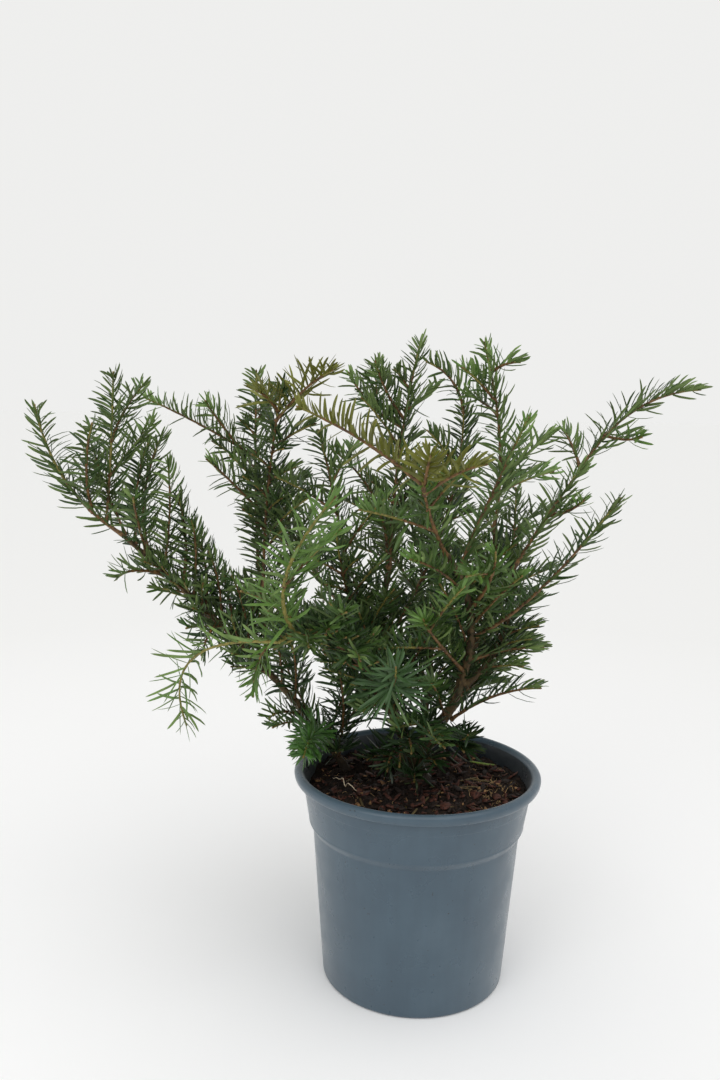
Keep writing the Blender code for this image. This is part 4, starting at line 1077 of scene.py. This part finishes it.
def joined(parts):
    """One array of points, and one group each of quads and triangles, from many such parts."""
    starts = np.cumsum([0] + [len(part[0]) for part in parts])
    points = np.vstack([part[0] for part in parts])
    quads = np.vstack([part[1] + start for part, start in zip(parts, starts)])
    triangles = np.vstack([part[2] + start for part, start in zip(parts, starts)])
    return points, [(quads, 0), (triangles, 0)]


def scaly(points):
    """Relief of old bark: broad swellings, plates whose edges rise and fall sharply, and fine cracks."""
    broad = 0.05 * ripples(points, 0.014, 21)
    plates = 0.07 * np.tanh(3.0 * ripples(points * (1.0, 1.0, 0.45), 0.0042, 22))
    return broad + plates + 0.02 * ripples(points, 0.0016, 23)


def bark_skin():
    """Red-brown scales over paler and greyer patches, matt, with painted shade that darkens it toward the
    mix.
    """
    material, shader = new_material("bark", (0.165, 0.085, 0.055), 0.82)
    patch = noise_node(material, 240.0, 5.0, (1.0, 1.0, 0.5), 0.62)
    bark_browns = [
        (0.28, (0.018, 0.013, 0.008)),
        (0.45, (0.062, 0.040, 0.016)),
        (0.60, (0.125, 0.080, 0.030)),
        (0.78, (0.200, 0.150, 0.085)),
    ]
    browns = ramp_node(material, patch.outputs["Fac"], bark_browns)
    moss = noise_node(material, 70.0, 4.0)
    mossy = ramp_node(material, moss.outputs["Fac"], [(0.60, (0.0, 0.0, 0.0)), (0.74, (0.55, 0.55, 0.55))])
    moss_green = (0.10, 0.11, 0.055)
    coloured = blend_colours(material, "MIX", mossy.outputs["Color"], browns.outputs["Color"], moss_green)
    place = material.node_tree.nodes.new("ShaderNodeTexCoord")
    parts = material.node_tree.nodes.new("ShaderNodeSeparateXYZ")
    rise = material.node_tree.nodes.new("ShaderNodeMapRange")
    rise.inputs["From Min"].default_value = BARK_SHADE_HEIGHTS[0]
    rise.inputs["From Max"].default_value = BARK_SHADE_HEIGHTS[1]
    rise.inputs["To Min"].default_value = BARK_SHADE_SHARE
    rise.inputs["To Max"].default_value = 0.0
    material.node_tree.links.new(place.outputs["Object"], parts.inputs["Vector"])
    material.node_tree.links.new(parts.outputs["Z"], rise.inputs["Value"])
    # Painted shade: near-black toward the mix, where the stool lies in the crown's shadow.
    shaded_foot = blend_colours(material, "MIX", rise.outputs["Result"], coloured, (0.016, 0.010, 0.006))
    material.node_tree.links.new(shaded_foot, shader.inputs["Base Color"])
    crack = noise_node(material, 1300.0, 4.0, (1.0, 1.0, 0.5))
    bump(material, shader, crack.outputs["Fac"], 0.0003)
    return material


trunk_rows = np.linspace(0, 1, 14)
trunk_radii = TRUNK_RADIUS + (TRUNK_FLARE - TRUNK_RADIUS) * (1 - trunk_rows) ** 3
trunk_heights = SOIL_LEVEL + GAP + (TRUNK_TOP - SOIL_LEVEL - GAP) * trunk_rows
stool_foot = SOIL_LEVEL - 0.004
stool_crown = ((0.9, 0.0012), (0.6, 0.0018), (0.0, 0.0020))
stool_profile = np.vstack(
    (
        [(0.0, stool_foot), (TRUNK_FLARE * 1.04, stool_foot)],
        np.stack((trunk_radii, trunk_heights), axis=1),
        [(TRUNK_RADIUS * share, TRUNK_TOP + rise) for share, rise in stool_crown],
    )
)
stool_points, stool_groups = turned_shape(stool_profile, 48)
stool_points[:, :2] *= (1 + scaly(stool_points * 0.6))[:, None]
stool_points[:, :2] += TRUNK_MIDDLE
stool = (stool_points, stool_groups[0][0], np.vstack((stool_groups[1][0], stool_groups[2][0])))
BARK_TO = {"front_bough": 0.56}
bough_tubes = []
for name in bough_names[1:]:
    stop = BARK_TO.get(name, 1.0)
    bough_tubes.append(
        limb_tube(crown.limbs[name], RING_STEP, BOUGH_SIDES, scaly, stop=stop, swell=0.35, sink=0.003)
    )
points, groups = joined([stool] + bough_tubes)
old_bark = bark_skin()
boughs = add_piece("stool_and_boughs", points, groups, [old_bark])
smooth(boughs, 60)
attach(boughs, "root")
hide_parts("trunk", *bough_names[1:])


# Shoots and twigs: last year's wood is smooth and orange-brown, this year's ends are yellow-green.
# Each is ribbed by the bases of its needles and ends in a small bud of overlapping scales.
SHOOT_SIDES = 8
SHOOT_RING_STEP = 0.0026
GREEN_FROM = {
    "front_bough": 0.55,
    "left_tip": 0.52,
    "left_tip_tall": 0.35,
    **dict.fromkeys(("low_left", "fresh_front", "fresh_tuft"), 0.0),
}
GREEN_FROM_ELSE = 0.86


def ribbed(points):
    """Relief of a shoot: small uneven swellings at the needles' bases."""
    return 0.10 * ripples(points, 0.0034, 31)


def shoot_skin(name, dark, light, roughness):
    """Skin of a young shoot, blotched between two colours."""
    material, shader = new_material(name, light, roughness)
    patch = noise_node(material, 330.0, 3.0)
    blotches = ramp_node(material, patch.outputs["Fac"], [(0.36, dark), (0.62, light)])
    material.node_tree.links.new(blotches.outputs["Color"], shader.inputs["Base Color"])
    bump(material, shader, patch.outputs["Fac"], 0.0003)
    return material


brown_tubes = []
green_tubes = []
for limb in crown.limbs.values():
    if limb.kind == "bough" and limb.name not in GREEN_FROM:
        continue
    own_green = 0.45 if limb.kind in ("twig", "fine") else GREEN_FROM_ELSE
    change = GREEN_FROM.get(limb.name, own_green)
    if change > 0 and limb.kind != "bough":
        brown_tubes.append(limb_tube(limb, SHOOT_RING_STEP, SHOOT_SIDES, ribbed, 0.0, change, 0.4, 0.001))
    green_tubes.append(limb_tube(limb, SHOOT_RING_STEP, SHOOT_SIDES, ribbed, max(0.0, change - 0.01)))
mass_nodes = [stem.mass for stem in mass_stems]
for name, tubes, dark, light, slot in (
    ("brown_shoots", brown_tubes, (0.070, 0.035, 0.013), (0.215, 0.112, 0.036), "bark"),
    ("green_shoots", green_tubes, (0.150, 0.135, 0.028), (0.260, 0.222, 0.050), "needles_green"),
):
    points, groups = joined(tubes)
    piece = add_piece(name, points, groups, [shoot_skin(name, dark, light, 0.6)])
    smooth(piece, 50)
    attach(piece, "root")
    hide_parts(*mass_nodes)


# Winter buds: one at the end of every shoot and twig, a small egg of brown scales.
BUD_WIDTH = 0.0011
BUD_LENGTH = 0.0019
ended = [limb for limb in crown.limbs.values() if limb.kind != "bough"]
bud_places = np.array([limb.tip + limb.heading(1.0)[0] * BUD_LENGTH * 0.5 for limb in ended])
bud_frames = []
for limb in ended:
    heading = limb.heading(1.0)[0]
    across, over = sideways(heading)
    bud_frames.append(np.stack((across, over, heading), axis=1))
bud_sizes = np.tile((BUD_WIDTH, BUD_WIDTH, BUD_LENGTH), (len(ended), 1)) * 0.8
bud_dents = np.random.default_rng(41).normal(0, 0.08, (len(ended), len(ball)))
points, faces = copies(ball, ball_faces, bud_places, np.array(bud_frames), bud_sizes, bud_dents)
bud_scales = shoot_skin("bud_scales", (0.10, 0.055, 0.016), (0.24, 0.16, 0.045), 0.55)
buds = add_piece("buds", points, [(faces, 0)], [bud_scales])
smooth(buds, 50)
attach(buds, "root")
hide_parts(*mass_nodes)


# Needles: flat, pointed, leathery blades on short stalks, glossy dark green above and paler beneath.
# They stand all round an upright shoot; on a leaning one they turn to its sides and upper face.
NEEDLE_LENGTH = 0.0212
NEEDLE_WIDTH = 0.00205
NEEDLE_PITCH = 0.00094
OLD_NEEDLE_PITCH = 0.0011
BARE_SHARE = {"right_bough": 0.34, "left_low_bough": 0.30, "middle_bough": 0.15}
BARE_SHARE_ELSE = 0.10
NEEDLE_TURN = math.radians(137.5)
COMBING = 0.30
STATIONS = np.array((0.0, 0.08, 0.36, 0.72, 0.90))
HALF_WIDTHS = np.array((0.34, 0.84, 1.0, 0.93, 0.62))
# Top and underside colour of each tint. Deep and dark are partly the needles' own darker green and partly
# painted shade for the inner, lower and back shoots; shade is painted shade for the shoots at the foot,
# deep in the crown's shadow.
TINTS = {
    "shade": ((0.012, 0.030, 0.008), (0.046, 0.074, 0.022)),
    "deep": ((0.022, 0.051, 0.014), (0.078, 0.122, 0.040)),
    "dark": ((0.040, 0.083, 0.020), (0.104, 0.156, 0.047)),
    "mid": ((0.066, 0.125, 0.027), (0.130, 0.192, 0.058)),
    "light": ((0.098, 0.186, 0.038), (0.162, 0.250, 0.074)),
    "fresh": ((0.122, 0.226, 0.050), (0.180, 0.274, 0.082)),
    "vivid": ((0.048, 0.125, 0.022), (0.090, 0.180, 0.040)),
    "blue": ((0.046, 0.098, 0.032), (0.102, 0.162, 0.060)),
    "bronze": ((0.125, 0.132, 0.018), (0.175, 0.186, 0.040)),
}
# Sprays marked dark take the deep and dark tints: partly own colour, partly painted shade.
SPRAY_TINTS = {
    "dark": ("deep", "deep", "dark"),
    "green": ("dark", "mid", "mid"),
    "fresh": ("light", "light", "fresh"),
    "bronze": ("bronze", "mid", "bronze"),
}
LIGHTER = {"deep": "dark", "dark": "mid", "mid": "light"}
FOOT_SHOOTS = (*(f"foot_{letter}" for letter in "abcdefh"), "low_tuft", "right_foot")
# The foot shoots take the shade tint, painted shade for the needles low in the crown's shadow.
OWN_TINTS = {
    **dict.fromkeys(FOOT_SHOOTS, "shade"),
    "fresh_tuft": "vivid",
    "front_rosette": "blue",
    "front_arch": "mid",
    "column_fan_left": "bronze",
    "column_fan_right": "bronze",
    "low_centre": "deep",
    "fresh_front": "light",
}
OWN_PITCH = {
    "right_low": 1.4,
    "right_droop": 1.3,
    "back_right_low": 1.6,
    "right_back_low": 1.4,
    "low_left": 2.1,
    "fresh_front": 1.35,
    "fresh_tuft": 0.55,
}
OWN_LENGTH = {
    **dict.fromkeys(FOOT_SHOOTS, 1.2),
    "low_left": 1.3,
    "fresh_front": 1.3,
    "front_rosette": 1.45,
    "centre_front": 1.15,
    "column_fan_left": 1.15,
    "column_fan_right": 1.15,
}
OWN_SPLAY = {"front_rosette": 26, "fresh_tuft": 8}
ALL_ROUND = ("front_rosette", "fresh_tuft")
RECURVED = ("left_tip",)
UP = np.array((0.0, 0.0, 1.0))


def needle_places(limb, draw):
    """Distances along a limb where its needles sit: closer at the tip, only the outer part of a bough."""
    bough = limb.kind == "bough"
    bare = BARE_SHARE.get(limb.name, BARE_SHARE_ELSE)
    place = limb.length * bare if bough else (0.007 if limb.kind == "shoot" else 0.005)
    while place < limb.length - 0.0008:
        yield place
        close = max(0.0, 1 - (limb.length - place) / 0.012)
        pitch = OLD_NEEDLE_PITCH if bough else NEEDLE_PITCH * (1 - 0.35 * close)
        place += pitch * OWN_PITCH.get(limb.name, 1.0) * draw.uniform(0.9, 1.1)


def square_to(vectors, axes):
    """The part of each vector that is square to its axis, at length one."""
    return unit(vectors - axes * (vectors * axes).sum(axis=-1, keepdims=True))


def needles_of(limb, seed):
    """Rows of root, aim, upper side, bend, length and tip share for the needles of one limb."""
    draw = random.Random(seed)
    places = np.array(list(needle_places(limb, draw)))
    count = len(places)
    along = places / limb.length
    root = limb.at(along)
    heading = limb.heading(along)
    numbers = np.random.default_rng(seed)
    up = square_to(UP + np.array((0.013, 0.017, 0.0)), heading)
    side = np.cross(heading, up)
    slant = np.clip((0.88 - np.abs(heading[:, 2])) / 0.28, 0.0, 1.0)
    if limb.name in ALL_ROUND:
        slant = slant * 0.0
    turn = np.arange(count) * NEEDLE_TURN + numbers.normal(0, 0.12, count)
    turn = turn - COMBING * (0.3 + 0.7 * slant) * np.sin(2 * turn)
    across = np.cos(turn)
    above = np.sin(turn)
    bough = limb.kind == "bough"
    below = above < (0.1 if bough else -0.25)
    keep = ~(below & (numbers.uniform(0, 1, count) < (1.0 if bough else 0.72) * slant))
    lifted = np.where(below, above * 0.7, above + 0.45 * slant)
    outward = unit(side * across[:, None] + up * lifted[:, None])
    to_tip = np.clip(1 - (limb.length - places) / 0.022, 0.0, 1.0)
    splay = 60 + OWN_SPLAY.get(limb.name, 0)
    lean = np.radians(splay - 20 * to_tip + numbers.normal(0, 4 + 6 * to_tip, count))
    aim = unit(heading * np.cos(lean)[:, None] + outward * np.sin(lean)[:, None])
    full = 0.84 + 0.16 * np.sin(math.pi * np.clip(along * 1.25, 0, 1))
    own = OWN_LENGTH.get(limb.name, 1.0)
    size = NEEDLE_LENGTH * own * full * (1 - 0.42 * to_tip) * numbers.uniform(0.82, 1.10, count)
    out = np.stack((root[:, 0], root[:, 1], np.zeros(count)), axis=1) * 4.5
    light = UP * 0.35 + out + numbers.normal(0, 0.50, (count, 3))
    upper = square_to(heading * 0.45 + light, aim)
    curl = np.where(aim[:, 0] > 0, 0.36, -0.20) * (-1.0 if limb.name in RECURVED else 1.0)
    forward = square_to(heading, aim) * (curl + numbers.normal(0, 0.05, count))[:, None]
    bend = forward + square_to(UP, aim) * numbers.normal(0, 0.05, count)[:, None]
    base = root + outward * limb.radius(along)[:, None] * 0.5
    rows = (base, aim, upper, bend, size, to_tip)
    return [row[keep] for row in rows]


def needle_mesh(base, aim, upper, bend, size, width):
    """Points and faces of many needles.

    The midline is root + aim L s + bend L s squared. Across it lie the two margins, a raised midrib and a
    keel, at the half width of each station. The margins hang a little, and the last ring closes on the tip.
    """
    s = STATIONS[None, :, None]
    length = size[:, None, None]
    middle = base[:, None] + (aim[:, None] * s + bend[:, None] * s**2) * length
    along = unit(aim[:, None] + 2 * bend[:, None] * s)
    left = unit(np.cross(upper[:, None], along))
    over = np.cross(along, left)
    half = (HALF_WIDTHS[None, :] * width[:, None] / 2)[..., None]
    ring = np.stack(
        (
            middle + left * half - over * half * 0.16,
            middle + over * half * 0.22,
            middle - left * half - over * half * 0.16,
            middle - over * half * 0.34,
        ),
        axis=2,
    )
    point = base + (aim + bend) * size[:, None]
    count = len(base)
    rows = len(STATIONS)
    each = rows * 4 + 1
    points = np.concatenate((ring.reshape(count, rows * 4, 3), point[:, None]), axis=1).reshape(-1, 3)
    quads = grid_faces(rows, 4).reshape(rows - 1, 4, 4)
    last = (rows - 1) * 4
    tips = np.array([(last + k, last + (k + 1) % 4, rows * 4) for k in range(4)])
    step = np.arange(count)[:, None, None] * each

    def spread(faces):
        return (faces[None] + step).reshape(-1, faces.shape[-1])

    top_quads = quads[:, :2].reshape(-1, 4)
    low_quads = quads[:, 2:].reshape(-1, 4)
    heel = np.array([[3, 2, 1, 0]])
    return points, [
        (spread(top_quads), 0),
        (spread(tips[:2]), 0),
        (spread(low_quads), 1),
        (spread(tips[2:]), 1),
        (spread(heel), 1),
    ]


def needle_skin(name, colour, roughness):
    """Leathery skin of a needle: one colour with a slight drift from spray to spray and fine lines."""
    material, shader = new_material(name, colour, roughness)
    shader.inputs["Specular IOR Level"].default_value = 0.36
    drift = noise_node(material, 55.0, 2.0)
    darker = tuple(0.72 * c for c in colour)
    lighter = tuple(1.30 * c for c in colour)
    drifted = ramp_node(material, drift.outputs["Fac"], [(0.36, darker), (0.64, lighter)])
    material.node_tree.links.new(drifted.outputs["Color"], shader.inputs["Base Color"])
    grain = noise_node(material, 1400.0, 2.0)
    bump(material, shader, grain.outputs["Fac"], 0.00008)
    return material


limb_points = []
limb_owner = []
for number, limb in enumerate(crown.limbs.values()):
    skeleton = limb.skeleton(0.0015)
    limb_points.append(skeleton)
    limb_owner += [number] * len(skeleton)
limb_points = np.vstack(limb_points)
tree = KDTree(len(limb_points))
for number, point in enumerate(limb_points):
    tree.insert(point, number)
tree.balance()


def misses_limbs(number, samples, reach=0.0016):
    """True where no sample of a needle comes within the reach of another limb."""
    for sample in samples:
        for _, found, _ in tree.find_range(sample, reach):
            if limb_owner[found] != number:
                return False
    return True


TESTED_REACH = np.array((0.45, 1.0))
TESTED_BEND = np.array((0.20, 1.0))
sprays = {tint: [] for tint in TINTS}
masses_in = {tint: set() for tint in TINTS}
for number, limb in enumerate(crown.limbs.values()):
    if limb.name == "trunk":
        continue
    base, aim, upper, bend, size, to_tip = needles_of(limb, 3000 + number)
    if not len(base):
        continue
    offset = aim[:, None] * TESTED_REACH[None, :, None] + bend[:, None] * TESTED_BEND[None, :, None]
    far = base[:, None] + offset * size[:, None, None]
    clear = clear_of_pot(far, 0.001).all(axis=1)
    clear &= np.array([misses_limbs(number, samples) for samples in far])
    pick = random.Random(7000 + number)
    green = green_of.get(limb.name, "dark")
    stem_name = limb.name.rsplit("_", 1)[0] if limb.kind == "twig" else limb.name
    tint = OWN_TINTS.get(stem_name) or pick.choice(SPRAY_TINTS[green])
    outer = LIGHTER.get(tint, tint) if limb.kind != "bough" else tint
    mass = nearest_mass(limb.tip) if limb.kind == "bough" else limb.mass
    for own_tint, part in ((tint, to_tip < 0.25), (outer, to_tip >= 0.25)):
        chosen = clear & part
        if chosen.any():
            sprays[own_tint].append([row[chosen] for row in (base, aim, upper, bend, size)])
            masses_in[own_tint].add(mass)

NEEDLES_A_PIECE = 4000
for tint, rows in sprays.items():
    if not rows:
        continue
    base, aim, upper, bend, size = [np.concatenate(column) for column in zip(*rows)]
    width = NEEDLE_WIDTH * np.random.default_rng(9).uniform(0.85, 1.12, len(size))
    skins = [
        needle_skin(f"needle_top_{tint}", TINTS[tint][0], 0.32),
        needle_skin(f"needle_under_{tint}", TINTS[tint][1], 0.60),
    ]
    for part, start in enumerate(range(0, len(base), NEEDLES_A_PIECE)):
        those = slice(start, start + NEEDLES_A_PIECE)
        points, groups = needle_mesh(*(row[those] for row in (base, aim, upper, bend, size, width)))
        piece = add_piece(f"needles_{tint}_{part + 1}", points, groups, skins)
        smooth(piece, 55)
        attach(piece, "root")
        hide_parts(*sorted(masses_in[tint]))


# Fallen needles: a few brown ones lie about on the mix, and one still green lies alone at the right.
FALLEN = 26
GREEN_BASE = (0.0454, 0.0413, SOIL_LEVEL + 0.0035)
GREEN_TURN = math.radians(-31)
GREEN_LENGTH = 0.0239
GREEN_WIDTH = 0.0034
draw = np.random.default_rng(61)
fallen_turn = draw.uniform(0, 2 * math.pi, FALLEN)
fallen_base = scattered(FALLEN, draw, 0.80) + (0, 0, 0.0014)
fallen_size = NEEDLE_LENGTH * draw.uniform(0.5, 0.8, FALLEN)
fallen_base[0] = GREEN_BASE
fallen_turn[0] = GREEN_TURN
fallen_size[0] = GREEN_LENGTH
fallen_aim = np.stack((np.cos(fallen_turn), np.sin(fallen_turn), draw.normal(0, 0.03, FALLEN)), axis=1)
fallen_upper = square_to(UP + draw.normal(0, 0.2, (FALLEN, 3)), fallen_aim)
fallen_bend = draw.normal(0, 0.08, (FALLEN, 3)) * (1, 1, 0)
fallen_width = np.full(FALLEN, NEEDLE_WIDTH)
fallen_width[0] = GREEN_WIDTH
fallen_rows = (fallen_base, fallen_aim, fallen_upper, fallen_bend, fallen_size, fallen_width)
for name, those, colour in (
    ("fallen_green_needle", slice(0, 1), (0.19, 0.27, 0.05)),
    ("fallen_needles", slice(1, FALLEN), (0.085, 0.060, 0.020)),
):
    points, groups = needle_mesh(*(row[those] for row in fallen_rows))
    skins = [needle_skin(name, colour, 0.5), needle_skin(name + "_under", colour, 0.6)]
    piece = add_piece(name, points, groups, skins)
    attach(piece, "root")
    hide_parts("soil")
